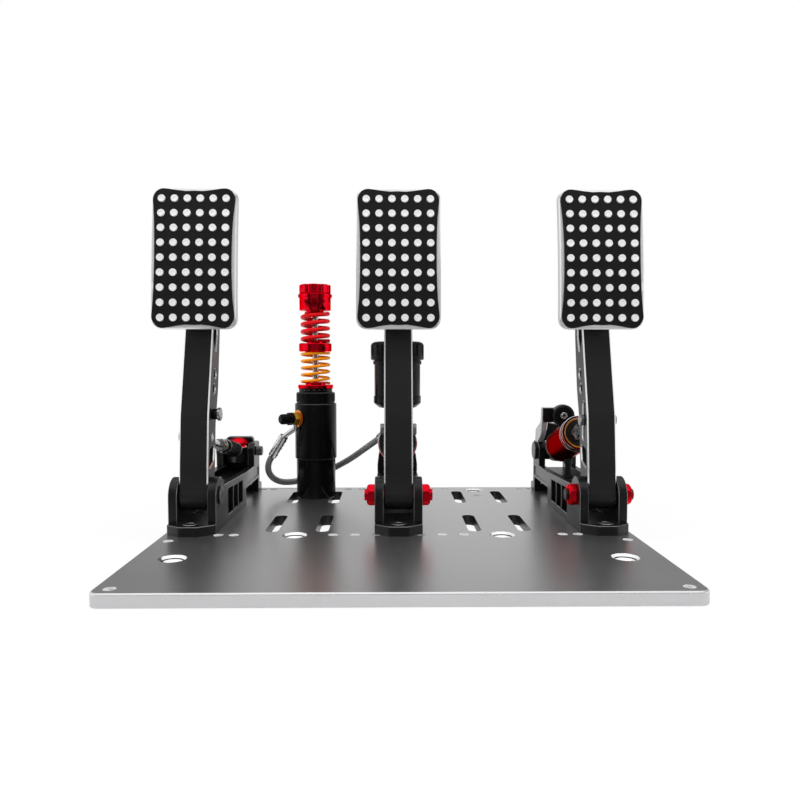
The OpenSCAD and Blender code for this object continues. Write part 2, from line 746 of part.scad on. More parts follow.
module throttle_rod() color([0.62, 0.62, 0.64]) on_throttle() {
  rod_with_eye(rod_d, cup_u0 + cup_flange_t + 29, throttle_l);
  translate([0, 0, throttle_collar_u]) cylinder(d = cup_bore - 2 * guide_gap, h = collar_t);
  translate([0, 0, throttle_collar_u + collar_t]) cylinder(d = 17, h = 6, $fn = 6);
}

module brake_rod() color([0.62, 0.62, 0.64]) on_brake() {
  mirror([0, 0, 1]) translate([0, 0, -tip_v]) rod_with_eye(rod_d, 4, tip_v);
  translate([0, 0, tip_v - 6]) rotate_extrude()
    polygon([[0, 0], [5, 0], [5, 4], [3, 6], [0, 6]]);
}

// Fork that carries the rear pin of a spring unit, joined behind by an arch
module rear_block() {
  half = frame_w / 2;
  side_t = (frame_w - block_gap) / 2;
  top_z = deck_z + block_h;
  arch_r = 12.5;
  difference() {
    union() {
      for (side = [-1, 1]) translate([side * (half - side_t / 2), 0, 0]) side_shape(side_t)
        polygon(rounded([[block_front_y, deck_z], [frame_end_y, deck_z], [frame_end_y, top_z],
          [block_front_y + 5, top_z], [block_front_y, top_z - 6]], [0, 0, 3, 4, 4]));
      translate([0, frame_end_y - block_back_t / 2, 0]) front_shape(block_back_t)
        polygon(rounded([[-15, deck_z], [15, deck_z], [15, top_z + 5], [-15, top_z + 5]], [0, 0, 4, 4]));
    }
    translate([0, trunnion_y, trunnion_z]) bar_x(trunnion_d + 2 * seat_gap, frame_w + 2 * cut);
    translate([0, frame_end_y - block_back_t - cut, trunnion_z]) bar_y(2 * arch_r, block_back_t + 2 * cut);
    translate([-arch_r, frame_end_y - block_back_t - cut, deck_z - cut])
      cube([2 * arch_r, block_back_t + 2 * cut, trunnion_h + cut]);
  }
}

module clutch_rear_block() color([0.1, 0.1, 0.1]) translate([clutch_x, 0, 0]) rear_block();

// The throttle's fork has a tower behind the dial
module throttle_rear_block() color([0.1, 0.1, 0.1]) translate([throttle_x, 0, 0]) {
  top_z = deck_z + block_h;
  rear_block();
  translate([0, frame_end_y - block_back_t / 2, 0]) front_shape(block_back_t)
    polygon(rounded([[-13, top_z], [9, top_z], [9, top_z + 18], [-13, top_z + 22]], [0, 0, 5, 3]));
}

// Rear pin with a round knob on the side given and a thin head on the other
module rear_pin(knob_side, knob_d, knob_h) {
  head_h = 2;
  translate([0, trunnion_y, trunnion_z]) rotate([0, knob_side * 90, 0]) {
    cylinder(d = trunnion_d, h = frame_w + 2, center = true);
    translate([0, 0, frame_w / 2]) cylinder(d = knob_d, h = knob_h);
    translate([0, 0, -frame_w / 2 - head_h]) cylinder(d = 12, h = head_h);
  }
}

module clutch_rear_pin() color([0.12, 0.12, 0.12]) translate([clutch_x, 0, 0]) rear_pin(1, 10, 7);
module throttle_rear_pin() color([0.12, 0.12, 0.12]) translate([throttle_x, 0, 0]) rear_pin(-1, 19, 4);

// Lug that turns on the rear pin, with a round neck towards the arm
module lug(d, l) {
  width = block_gap - 1;
  difference() {
    union() {
      bar_x(lug_d, width);
      cylinder(d = d, h = l);
    }
    bar_x(trunnion_d + 2 * run_gap, width + 2 * cut);
  }
}

// Hexagon block that turns on the clutch's rear pin, with a guide tube for the rod
module clutch_cup() color([0.8, 0.08, 0.12]) difference() {
  hex_d = 27;
  low = 12;
  shoulder = 4.5;
  bore_d = clutch_rod_d + 2 * guide_gap;
  union() {
    translate([clutch_x, trunnion_y + 2, trunnion_z]) rotate([0, 0, 30]) {
      translate([0, 0, -low]) cylinder(d = hex_d, h = low + shoulder, $fn = 6);
      translate([0, 0, shoulder]) cylinder(d1 = hex_d, d2 = hex_d / 4, h = 7, $fn = 6);
    }
    on_clutch() cylinder(d = bore_d + 2, h = clutch_tube_u);
    on_clutch() translate([0, 0, clutch_seat_u - 4]) cylinder(d = clutch_spring_d, h = 4);
  }
  translate([clutch_x, trunnion_y, trunnion_z]) bar_x(trunnion_d + 2 * run_gap, block_gap);
  on_clutch() translate([0, 0, trunnion_d / 2 + 3]) cylinder(d = bore_d, h = clutch_tube_u);
}

module throttle_cup_base() color([0.09, 0.09, 0.09]) on_throttle() {
  lug(neck_d, cup_u0);
  translate([0, 0, cup_u0]) cylinder(d = cup_d, h = cup_flange_t);
  translate([0, 0, cup_u0 + cup_flange_t]) cylinder(d = cup_bore - 2 * seat_gap, h = cup_plug_l);
}

module throttle_cup() color([0.75, 0.06, 0.1]) on_throttle()
  translate([0, 0, cup_u0 + cup_flange_t]) difference() {
    cylinder(d = cup_d, h = cup_l);
    translate([0, 0, -cut]) cylinder(d = cup_bore, h = cup_l + 2 * cut);
    translate([0, 0, cup_l - 11]) difference() {
      cylinder(d = cup_d + 2 * cut, h = 2.5);
      translate([0, 0, -cut]) cylinder(d = cup_d - 1.2, h = 2.5 + 2 * cut);
    }
  }

clutch_path = helix((clutch_spring_d - clutch_wire) / 2, clutch_seat_u + clutch_wire / 2 + free_gap,
  clutch_collar_u - clutch_wire / 2 - free_gap, 6, clutch_wire);
throttle_path = helix((cup_bore - 3 - throttle_wire) / 2,
  cup_u0 + cup_flange_t + cup_plug_l + throttle_wire / 2 + free_gap,
  throttle_collar_u - throttle_wire / 2 - free_gap, 7, throttle_wire);
lower_path = helix((stack_d - lower_wire) / 2, flange_z + lower_wire / 2 + free_gap,
  collar_z0 - lower_wire / 2 - free_gap, 5, lower_wire);
upper_path = helix((stack_d - upper_wire) / 2, collar_z1 + upper_wire / 2 + free_gap,
  top_cup_z0 - upper_wire / 2 - free_gap, 4.5, upper_wire);
echo(least_gaps = [least_gap(clutch_path, clutch_wire), least_gap(throttle_path, throttle_wire),
  least_gap(lower_path, lower_wire), least_gap(upper_path, upper_wire)]);
spring_sides = 6;

module clutch_spring() color([0.15, 0.15, 0.15]) on_clutch()
  tube(clutch_path, clutch_wire, [0, 0, 1], spring_sides);
module throttle_spring() color([0.95, 0.75, 0.1]) on_throttle()
  tube(throttle_path, throttle_wire, [0, 0, 1], spring_sides);

// Dial that sets the throttle's preload, turned from the front
module throttle_dial() color([0.08, 0.08, 0.08]) translate([throttle_x, dial_y0, dial_z]) difference() {
  union() {
    bar_y(dial_d, dial_t);
    bar_y(6, dial_t + hub_t + free_gap);
    translate([0, -1.5, 0]) bar_y(6.5, 2);
  }
  translate([0, -1.5 - cut, 0]) rotate([-90, 0, 0]) cylinder(d = 3.4, h = 2 + cut, $fn = 6);
}

// Gooseneck on the inner wall of the rear block that carries the dial
module dial_bracket() color([0.6, 0.6, 0.62]) translate([throttle_x, 0, 0]) {
  top_z = deck_z + block_h;
  outer = -frame_w / 2;
  plate_t_x = 6;
  difference() {
    union() {
      translate([outer + plate_t_x / 2, 0, 0]) side_shape(plate_t_x) polygon(rounded(
        [[trunnion_y + 10, top_z + seat_gap], [trunnion_y + 8, top_z + 14], [hub_y0 + 9, dial_z - 8],
        [hub_y0 + hub_t, dial_z + 8], [hub_y0, dial_z + 8], [hub_y0, dial_z - 8],
        [hub_y0 + 5, dial_z - 18], [trunnion_y - 5, top_z + seat_gap]], [0, 8, 8, 2, 2, 8, 8, 0]));
      translate([outer, hub_y0, dial_z - 8]) cube([-outer, hub_t, 16]);
      translate([0, hub_y0, dial_z]) bar_y(16, hub_t);
    }
    translate([0, hub_y0 - cut, dial_z]) bar_y(6 + 2 * run_gap, hub_t + 2 * cut);
  }
}

// Saddle that carries the master cylinder above the rails
module brake_cradle() color([0.1, 0.1, 0.1]) {
  mid_y = deck_y0 + 1 + cradle_l / 2;
  axis_z = brake_pin_z - (mid_y - pin_y) * tan(brake_tilt);
  half = frame_w / 2;
  difference() {
    translate([0, mid_y, 0]) front_shape(cradle_l) polygon(rounded(
      [[-half, deck_z], [half, deck_z], [half, deck_z + 8], [half - 1.5, axis_z - 2],
      [1.5 - half, axis_z - 2], [-half, deck_z + 8]], [0, 0, 2, 2, 2, 2]));
    on_brake() cylinder(d = master_d + 2 * seat_gap, h = master_end_v + 40);
  }
}

module master_cylinder() color([0.09, 0.09, 0.09]) difference() {
  bore_d = piston_d + 2 * run_gap;
  union() {
    on_brake() {
      translate([0, 0, mouth_v]) cylinder(d = mouth_d - 2, h = plate_v);
      translate([0, 0, mouth_v]) cylinder(d = master_d, h = master_end_v - mouth_v);
      translate([0, 0, master_end_v]) cylinder(d = master_d - 5, h = 8);
    }
    translate([0, reservoir_y, reservoir_axis_z])
      cylinder(d = 14, h = plate_t + reservoir_up - reservoir_axis_z - seat_gap);
    translate([0, port_y, port_axis_z]) cylinder(d = 14, h = port_z - port_axis_z - seat_gap);
  }
  on_brake() translate([0, 0, mouth_v - cut]) cylinder(d = bore_d, h = master_end_v - 10 - mouth_v + cut);
  translate([0, port_y, port_z - 8]) cylinder(d = 8 + 2 * seat_gap, h = 8 + cut);
}

reservoir_axis_z = brake_pin_z - (reservoir_y - pin_y) * tan(brake_tilt);
port_axis_z = brake_pin_z - (port_y - pin_y) * tan(brake_tilt);
port_z = port_axis_z + master_d / 2 + 4.5;

module master_ring() color([0.75, 0.07, 0.12]) on_brake()
  translate([0, 0, mouth_v + plate_v + seat_gap]) difference() {
    cylinder(d = mouth_d, h = ring_v);
    translate([0, 0, -cut]) cylinder(d = master_d + 2 * seat_gap, h = ring_v + 2 * cut);
  }

module master_piston() color([0.7, 0.7, 0.72]) on_brake()
  translate([0, 0, tip_v + free_gap]) cylinder(d = piston_d, h = 32);

// Fluid reservoir, open at the top under its cap
module reservoir() color([0.07, 0.07, 0.07])
  translate([0, reservoir_y, plate_t + reservoir_up]) rotate_extrude() {
    r = reservoir_d / 2;
    wall = 3;
    polygon([[4, 0], [r - 4.5, 0], [r + 0.8, 4.5], [r + 0.8, 11.5], [r, 12], [r, 43.5],
      [r + 1.3, 43.5], [r + 1.3, 47.5], [r, 47.5], [r, reservoir_h], [r - wall, reservoir_h],
      [r - wall, 5], [4, 5]]);
  }

module reservoir_cap() color([0.06, 0.06, 0.06]) translate([0, reservoir_y, plate_t + reservoir_up]) {
  bore_r = reservoir_d / 2 + run_gap;
  low = 47.5 + free_gap;
  roof = reservoir_h + free_gap;
  top = reservoir_h + 7;
  difference() {
    rotate_extrude() polygon([[bore_r, low], [cap_d / 2 - 1, low], [cap_d / 2, low + 1],
      [cap_d / 2, top - 3.5], [cap_d / 2 - 1.2, top - 1.4], [cap_d / 2 - 4, top], [0, top], [0, roof],
      [bore_r, roof]]);
    for (k = [0:15]) rotate([0, 0, 22.5 * k])
      translate([cap_d / 2 + 0.6, 0, low + 5]) cylinder(d = 3.2, h = top);
  }
}

module at_slave() {
  translate([slave_x, slave_y, 0]) children();
}

// Place on the slave cylinder's wall at its port, with +Z out of the wall
module at_port() {
  translate([0, 0, banjo_z]) rotate([0, 0, 180 + port_turn]) translate([slave_d / 2, 0, 0])
    rotate([0, 90, 0]) children();
}

module slave_body() color([0.05, 0.05, 0.05]) at_slave() difference() {
  union() {
    translate([0, 0, plate_t]) cylinder(d = slave_foot_d, h = slave_step_z - plate_t);
    translate([0, 0, slave_step_z]) cylinder(d = slave_d, h = slave_top_z - slave_step_z);
  }
  translate([0, 0, slave_step_z + 18]) cylinder(d = slave_piston_d + 2 * run_gap, h = slave_top_z);
  translate([0, 0, plate_t + 10]) cylinder(d = centre_rod_d + 2 * seat_gap, h = slave_top_z);
  at_port() translate([0, 0, -port_in]) cylinder(d = 8 + 2 * seat_gap, h = port_in + cut);
}

module slave_lock_ring() color([0.08, 0.08, 0.08]) at_slave() difference() {
  translate([0, 0, slave_top_z]) cylinder(d = slave_d - 3.5, h = lock_z - slave_top_z);
  translate([0, 0, slave_top_z - cut]) cylinder(d = slave_piston_d + 2 * run_gap, h = 40);
}

module slave_piston() color([0.1, 0.1, 0.1]) at_slave() difference() {
  translate([0, 0, slave_step_z + 20]) cylinder(d = slave_piston_d, h = sleeve_z - slave_step_z - 20);
  cylinder(d = centre_rod_d + 2 * free_gap, h = sleeve_z + cut);
}

// Disc on the centre rod with a spigot inside each spring that meets it
module spring_seat(d, z0, z1, spigot_low, spigot_high) {
  difference() {
    union() {
      translate([0, 0, z0]) cylinder(d = d, h = z1 - z0);
      if (spigot_low > 0) translate([0, 0, z0 - 3]) cylinder(d = spigot_low, h = 3);
      if (spigot_high > 0) translate([0, 0, z1]) cylinder(d = spigot_high, h = 3);
    }
    translate([0, 0, z0 - 10]) cylinder(d = centre_rod_d + 2 * free_gap, h = z1 - z0 + 20);
  }
}

lower_spigot = stack_d - 2 * lower_wire - 5;
upper_spigot = stack_d - 2 * upper_wire - 5;
module slave_flange() color([0.8, 0.08, 0.12]) at_slave()
  spring_seat(slave_piston_d + 1.7, sleeve_z + seat_gap, flange_z, 0, lower_spigot);
module slave_collar() color([0.8, 0.08, 0.12]) at_slave()
  spring_seat(stack_d + 2.9, collar_z0, collar_z1, lower_spigot, upper_spigot);
module slave_top_cup() color([0.8, 0.08, 0.12]) at_slave() {
  spring_seat(stack_d + 1.6, top_cup_z0, top_cup_z1 - 3.7, upper_spigot, 0);
  spring_seat(stack_d + 4.2, top_cup_z1 - 3.7, top_cup_z1, 0, 0);
}

module slave_lower_spring() color([1, 0.62, 0.06]) at_slave()
  tube(lower_path, lower_wire, [0, 0, 1], spring_sides);
module slave_upper_spring() color([0.85, 0.1, 0.12]) at_slave()
  tube(upper_path, upper_wire, [0, 0, 1], spring_sides);

// Lobed knob that sets the spring stack's preload
module slave_knob() color([0.82, 0.08, 0.12]) at_slave() difference() {
  translate([0, 0, top_cup_z1 + free_gap])
    cylinder(d = stack_d + 1.6, h = knob_z1 - top_cup_z1 - free_gap);
  cylinder(d = centre_rod_d + 2 * run_gap, h = knob_z1 + cut);
  for (k = [0:7]) rotate([0, 0, 22.5 + 45 * k])
    translate([stack_d / 2 + 2.2, 0, top_cup_z1 - cut]) cylinder(d = 6, h = 20);
}

module slave_rod() color([0.75, 0.75, 0.77]) at_slave() difference() {
  translate([0, 0, plate_t + 10]) cylinder(d = centre_rod_d, h = knob_z1 + 1 - plate_t - 10);
  translate([0, 0, knob_z1 - 3]) cylinder(d = 4.6, h = 3 + 2 * cut, $fn = 6);
}

// Hydraulic fittings: a hexagon block on the slave cylinder and a banjo ring on the master cylinder,
// each with a bent neck to its crimped ferrule
ring_t = 7;
ring_d = 14;
block_d = 15;
master_ring_at = [0, port_y, port_z + ring_t / 2];
slave_block_at = [slave_x, slave_y, banjo_z]
  - (slave_d / 2 + port_gap + ring_t / 2) * [cos(port_turn), sin(port_turn), 0];
slave_dir = unit(hose_route[1] - hose_route[0]);
master_dir = unit(hose_route[len(hose_route) - 2] - hose_route[len(hose_route) - 1]);

module banjo_bolts() color([0.85, 0.58, 0.12]) {
  at_slave() at_port() {
    translate([0, 0, port_gap]) rotate([0, 0, 30]) cylinder(d = block_d, h = ring_t, $fn = 6);
    translate([0, 0, port_gap - port_in]) cylinder(d = 8, h = port_in + 1);
  }
  translate(master_ring_at + [0, 0, ring_t / 2]) {
    translate([0, 0, seat_gap]) cylinder(d = 15, h = 5, $fn = 6);
    translate([0, 0, -ring_t - 6]) cylinder(d = 8, h = ring_t + 7);
  }
}

// Hexagon and round cap of the bleed valve, out beyond the slave's block
module bleed_cap() color([0.05, 0.05, 0.05]) at_slave() at_port()
  translate([0, 0, port_gap + ring_t + seat_gap]) {
    cylinder(d = 13.8, h = 6, $fn = 6);
    translate([0, 0, 5]) cylinder(d = 11, h = 8);
    translate([0, 0, 13]) cylinder(d1 = 11, d2 = 7.5, h = 2);
  }

module banjo_ring(place) {
  translate(place) difference() {
    cylinder(d = ring_d, h = ring_t, center = true);
    cylinder(d = 8 + 2 * seat_gap, h = ring_t + 2 * cut, center = true);
  }
}

// Ferrule at the tip of the hose, with a neck to it that bends at the knee
module hose_end(start, knee, tip, dir, l) {
  neck_d = 5;
  root = tip - l * dir;
  bar(root, tip - seat_gap * dir, ferrule_d);
  bar(start, knee, neck_d);
  translate(knee) sphere(d = neck_d + 1.2);
  bar(knee, root + dir, neck_d);
}

module hose_fittings() color([0.55, 0.55, 0.57]) {
  last = hose_route[len(hose_route) - 1];
  master_l = 12;
  master_root = last - master_l * master_dir;
  master_knee = [master_root.x, master_root.y, master_ring_at.z];
  under_block = slave_block_at - [0, 0, block_d / 2 * cos(30) + seat_gap];
  hose_end(under_block, under_block - [0, 0, 4], hose_route[0], slave_dir, ferrule_l);
  banjo_ring(master_ring_at);
  hose_end(master_ring_at + unit(master_knee - master_ring_at) * (ring_d / 2 - 1), master_knee, last,
    master_dir, master_l);
}

module hose() color([0.35, 0.35, 0.36]) tube(hose_route, hose_d, [0, 1, 0], hose_sides);

base_plate();
module_screws();
clutch_frame();
brake_frame();
throttle_frame();
clutch_axle();
brake_axle();
throttle_axle();
clutch_axle_caps();
brake_axle_nuts();
throttle_axle_nuts();
clutch_bushes();
brake_bushes();
throttle_bushes();
clutch_arm();
brake_arm();
throttle_arm();
clutch_pad();
brake_pad();
throttle_pad();
clutch_grip();
brake_grip();
throttle_grip();
clutch_rod_pin();
brake_rod_pin();
throttle_rod_pin();
clutch_rod();
brake_rod();
throttle_rod();
clutch_rear_block();
throttle_rear_block();
clutch_rear_pin();
throttle_rear_pin();
clutch_cup();
throttle_cup();
throttle_cup_base();
clutch_spring();
throttle_spring();
throttle_dial();
dial_bracket();
brake_cradle();
master_cylinder();
master_ring();
master_piston();
reservoir();
reservoir_cap();
slave_body();
slave_lock_ring();
slave_piston();
slave_flange();
slave_lower_spring();
slave_collar();
slave_upper_spring();
slave_top_cup();
slave_knob();
slave_rod();
banjo_bolts();
bleed_cap();
hose_fittings();
hose();
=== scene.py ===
import json
import math

import bmesh
import bpy
from mathutils import Matrix, Vector

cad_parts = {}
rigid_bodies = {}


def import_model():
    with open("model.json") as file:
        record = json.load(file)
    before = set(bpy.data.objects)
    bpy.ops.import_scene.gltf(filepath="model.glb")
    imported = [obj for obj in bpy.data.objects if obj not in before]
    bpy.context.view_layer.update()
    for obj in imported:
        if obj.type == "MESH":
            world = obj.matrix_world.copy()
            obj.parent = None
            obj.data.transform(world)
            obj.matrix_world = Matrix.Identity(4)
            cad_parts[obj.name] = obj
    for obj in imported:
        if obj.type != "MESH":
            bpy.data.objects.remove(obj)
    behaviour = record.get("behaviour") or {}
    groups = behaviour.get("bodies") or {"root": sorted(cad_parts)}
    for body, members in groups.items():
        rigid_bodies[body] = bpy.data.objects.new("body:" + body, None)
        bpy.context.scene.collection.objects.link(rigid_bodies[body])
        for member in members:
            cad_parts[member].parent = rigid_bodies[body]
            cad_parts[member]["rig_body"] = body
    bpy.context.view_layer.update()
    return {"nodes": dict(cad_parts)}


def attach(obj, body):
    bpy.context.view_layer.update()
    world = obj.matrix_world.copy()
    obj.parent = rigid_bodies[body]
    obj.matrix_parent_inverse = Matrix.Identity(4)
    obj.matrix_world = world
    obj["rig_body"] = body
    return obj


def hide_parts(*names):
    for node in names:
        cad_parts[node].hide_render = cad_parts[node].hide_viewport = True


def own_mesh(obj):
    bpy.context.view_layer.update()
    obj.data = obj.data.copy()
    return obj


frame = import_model()
scene = bpy.context.scene
scene.view_settings.view_transform = "Standard"
mm = 0.001
moduleX = {"clutch": -176 * mm, "brake": 0.0, "throttle": 176 * mm}
print("frame loaded:", len(frame["nodes"]), "solids")


# camera, from the photograph's plate edges
viewpoint = {"place": (-6.6 * mm, -632.8 * mm, 156.5 * mm), "down": 3.14, "right": 0.74,
             "lens": 31.95, "sensor": 36, "nearest": 0.02}
cameraData = bpy.data.cameras.new("viewCamera")
cameraData.sensor_width = viewpoint["sensor"]
cameraData.sensor_fit = "HORIZONTAL"
cameraData.lens = viewpoint["lens"]
cameraData.clip_start = viewpoint["nearest"]
camera = bpy.data.objects.new("viewCamera", cameraData)
camera.location = viewpoint["place"]
camera.rotation_euler = (math.radians(90 - viewpoint["down"]), 0, math.radians(-viewpoint["right"]))
scene.collection.objects.link(camera)
scene.camera = camera


# node helpers: an input is either another node's socket or a plain value
def wire(tree, node, inputs):
    for key, value in inputs.items():
        if isinstance(value, bpy.types.NodeSocket):
            tree.links.new(value, node.inputs[key])
        else:
            node.inputs[key].default_value = value


def addNode(tree, kind, inputs=None, **values):
    node = tree.nodes.new(kind)
    for key, value in values.items():
        setattr(node, key, value)
    wire(tree, node, inputs or {})
    return node


def mathNode(tree, kind, *values):
    return addNode(tree, "ShaderNodeMath", dict(enumerate(values)), operation=kind).outputs[0]


def splitNode(tree, vector):
    return addNode(tree, "ShaderNodeSeparateXYZ", {0: vector}).outputs


def coordsNode(tree, kind):
    return addNode(tree, "ShaderNodeTexCoord").outputs[kind]


def scaleNode(tree, vector, gain):
    return addNode(tree, "ShaderNodeVectorMath", {0: vector, "Scale": gain}, operation="SCALE").outputs[0]


# moves each node to the right of those that feed it
def layOut(tree, across=220, down=180):
    column = {node.name: 0 for node in tree.nodes}
    for _ in range(len(column)):
        for run in tree.links:
            column[run.to_node.name] = max(column[run.to_node.name], column[run.from_node.name] + 1)
    filled = {}
    for node in tree.nodes:
        place = column[node.name]
        node.location = (across * place, -down * filled.get(place, 0))
        filled[place] = filled.get(place, 0) + 1


def newGroup(name, inputs, outputs):
    group = bpy.data.node_groups.new(name, "ShaderNodeTree")
    for label, (kind, value) in inputs.items():
        socket = group.interface.new_socket(name=label, in_out="INPUT", socket_type="NodeSocket" + kind)
        socket.default_value = value
    for label, kind in outputs.items():
        group.interface.new_socket(name=label, in_out="OUTPUT", socket_type="NodeSocket" + kind)
    return group, addNode(group, "NodeGroupInput").outputs, addNode(group, "NodeGroupOutput")


# fine tooth of a blasted or anodised skin: a colour shift, a roughness and a height
def makeSkinGrain():
    group, given, end = newGroup(
        "skinGrain",
        {"Color": ("Color", (0.5, 0.5, 0.5, 1)), "Scale": ("Float", 900), "Shift": ("Float", 0.12),
         "Rough Low": ("Float", 0.35), "Rough High": ("Float", 0.5)},
        {"Color": "Color", "Roughness": "Float", "Height": "Float"})
    coords = coordsNode(group, "Object")
    fine = addNode(group, "ShaderNodeTexNoise", {"Vector": coords, "Scale": given["Scale"], "Detail": 3}).outputs[0]
    broad = addNode(group, "ShaderNodeTexNoise", {"Vector": coords, "Scale": 22, "Detail": 4}).outputs[0]
    centred = mathNode(group, "SUBTRACT", mathNode(group, "ADD", fine, broad), 1.0)
    gain = mathNode(group, "ADD", mathNode(group, "MULTIPLY", centred, given["Shift"]), 1.0)
    tint = scaleNode(group, given["Color"], gain)
    spread = addNode(group, "ShaderNodeMapRange", {
        "Value": broad, "From Min": 0.3, "From Max": 0.7, "To Min": given["Rough Low"], "To Max": given["Rough High"]})
    wire(group, end, {"Color": tint, "Roughness": spread.outputs[0], "Height": fine})
    layOut(group)
    return group


# two-by-two twill: a mask of the upper thread and the rise of each thread's back
def makeTwill():
    group, given, end = newGroup("twillWeave", {"Pitch": ("Float", 0.0016)}, {"Over": "Float", "Height": "Float"})
    place = splitNode(group, coordsNode(group, "Object"))
    threads = [mathNode(group, "DIVIDE", place[label], given["Pitch"]) for label in "XZ"]
    step = mathNode(group, "ADD", *(mathNode(group, "FLOOR", thread) for thread in threads))
    turn = mathNode(group, "FRACT", mathNode(group, "MULTIPLY", step, 0.25))
    over = mathNode(group, "LESS_THAN", turn, 0.45)  # two threads of every four
    backs = []
    for thread in threads:
        across = mathNode(group, "MULTIPLY", mathNode(group, "FRACT", thread), math.pi)
        backs.append(mathNode(group, "SINE", across))
    rise = addNode(group, "ShaderNodeMix", {0: over, 2: backs[0], 3: backs[1]})
    wire(group, end, {"Over": over, "Height": rise.outputs[0]})
    layOut(group)
    return group


# crossing strands of a braided cover, along the hose's own UV map
def makeBraid():
    group, given, end = newGroup("braidCover", {"Along": ("Float", 140), "Around": ("Float", 8)},
                                 {"Strand": "Float", "Height": "Float"})
    place = splitNode(group, coordsNode(group, "UV"))
    along = mathNode(group, "MULTIPLY", place["X"], given["Along"])
    around = mathNode(group, "MULTIPLY", place["Y"], given["Around"])
    strands = []
    for sign in (1, -1):
        lean = mathNode(group, "ADD", along, mathNode(group, "MULTIPLY", around, sign))
        strands.append(mathNode(group, "SINE", mathNode(group, "MULTIPLY", lean, 2 * math.pi)))
    height = mathNode(group, "MAXIMUM", *strands)
    half = mathNode(group, "ADD", mathNode(group, "MULTIPLY", height, 0.5), 0.5)
    wire(group, end, {"Strand": half, "Height": height})
    layOut(group)
    return group


# fine rings left by a lathe, square to the axis that a piece was turned on
def makeLatheLines():
    group, given, end = newGroup("latheLines", {"Axis": ("Vector", (0, 0, 1)), "Pitch": ("Float", 0.0004)},
                                 {"Height": "Float", "Shade": "Float"})
    along = addNode(group, "ShaderNodeVectorMath", {0: coordsNode(group, "Object"), 1: given["Axis"]},
                    operation="DOT_PRODUCT").outputs["Value"]
    step = mathNode(group, "DIVIDE", along, given["Pitch"])
    rings = addNode(group, "ShaderNodeTexNoise", {"Scale": 1.0, "Detail": 3, "W": step},
                    noise_dimensions="1D").outputs[0]
    shade = addNode(group, "ShaderNodeMapRange", {
        "Value": rings, "From Min": 0.25, "From Max": 0.75, "To Min": 0.86, "To Max": 1.06})
    wire(group, end, {"Height": rings, "Shade": shade.outputs[0]})
    layOut(group)
    return group


skinGrain = makeSkinGrain()
twillWeave = makeTwill()
braidCover = makeBraid()
latheLines = makeLatheLines()
print("shader groups made")


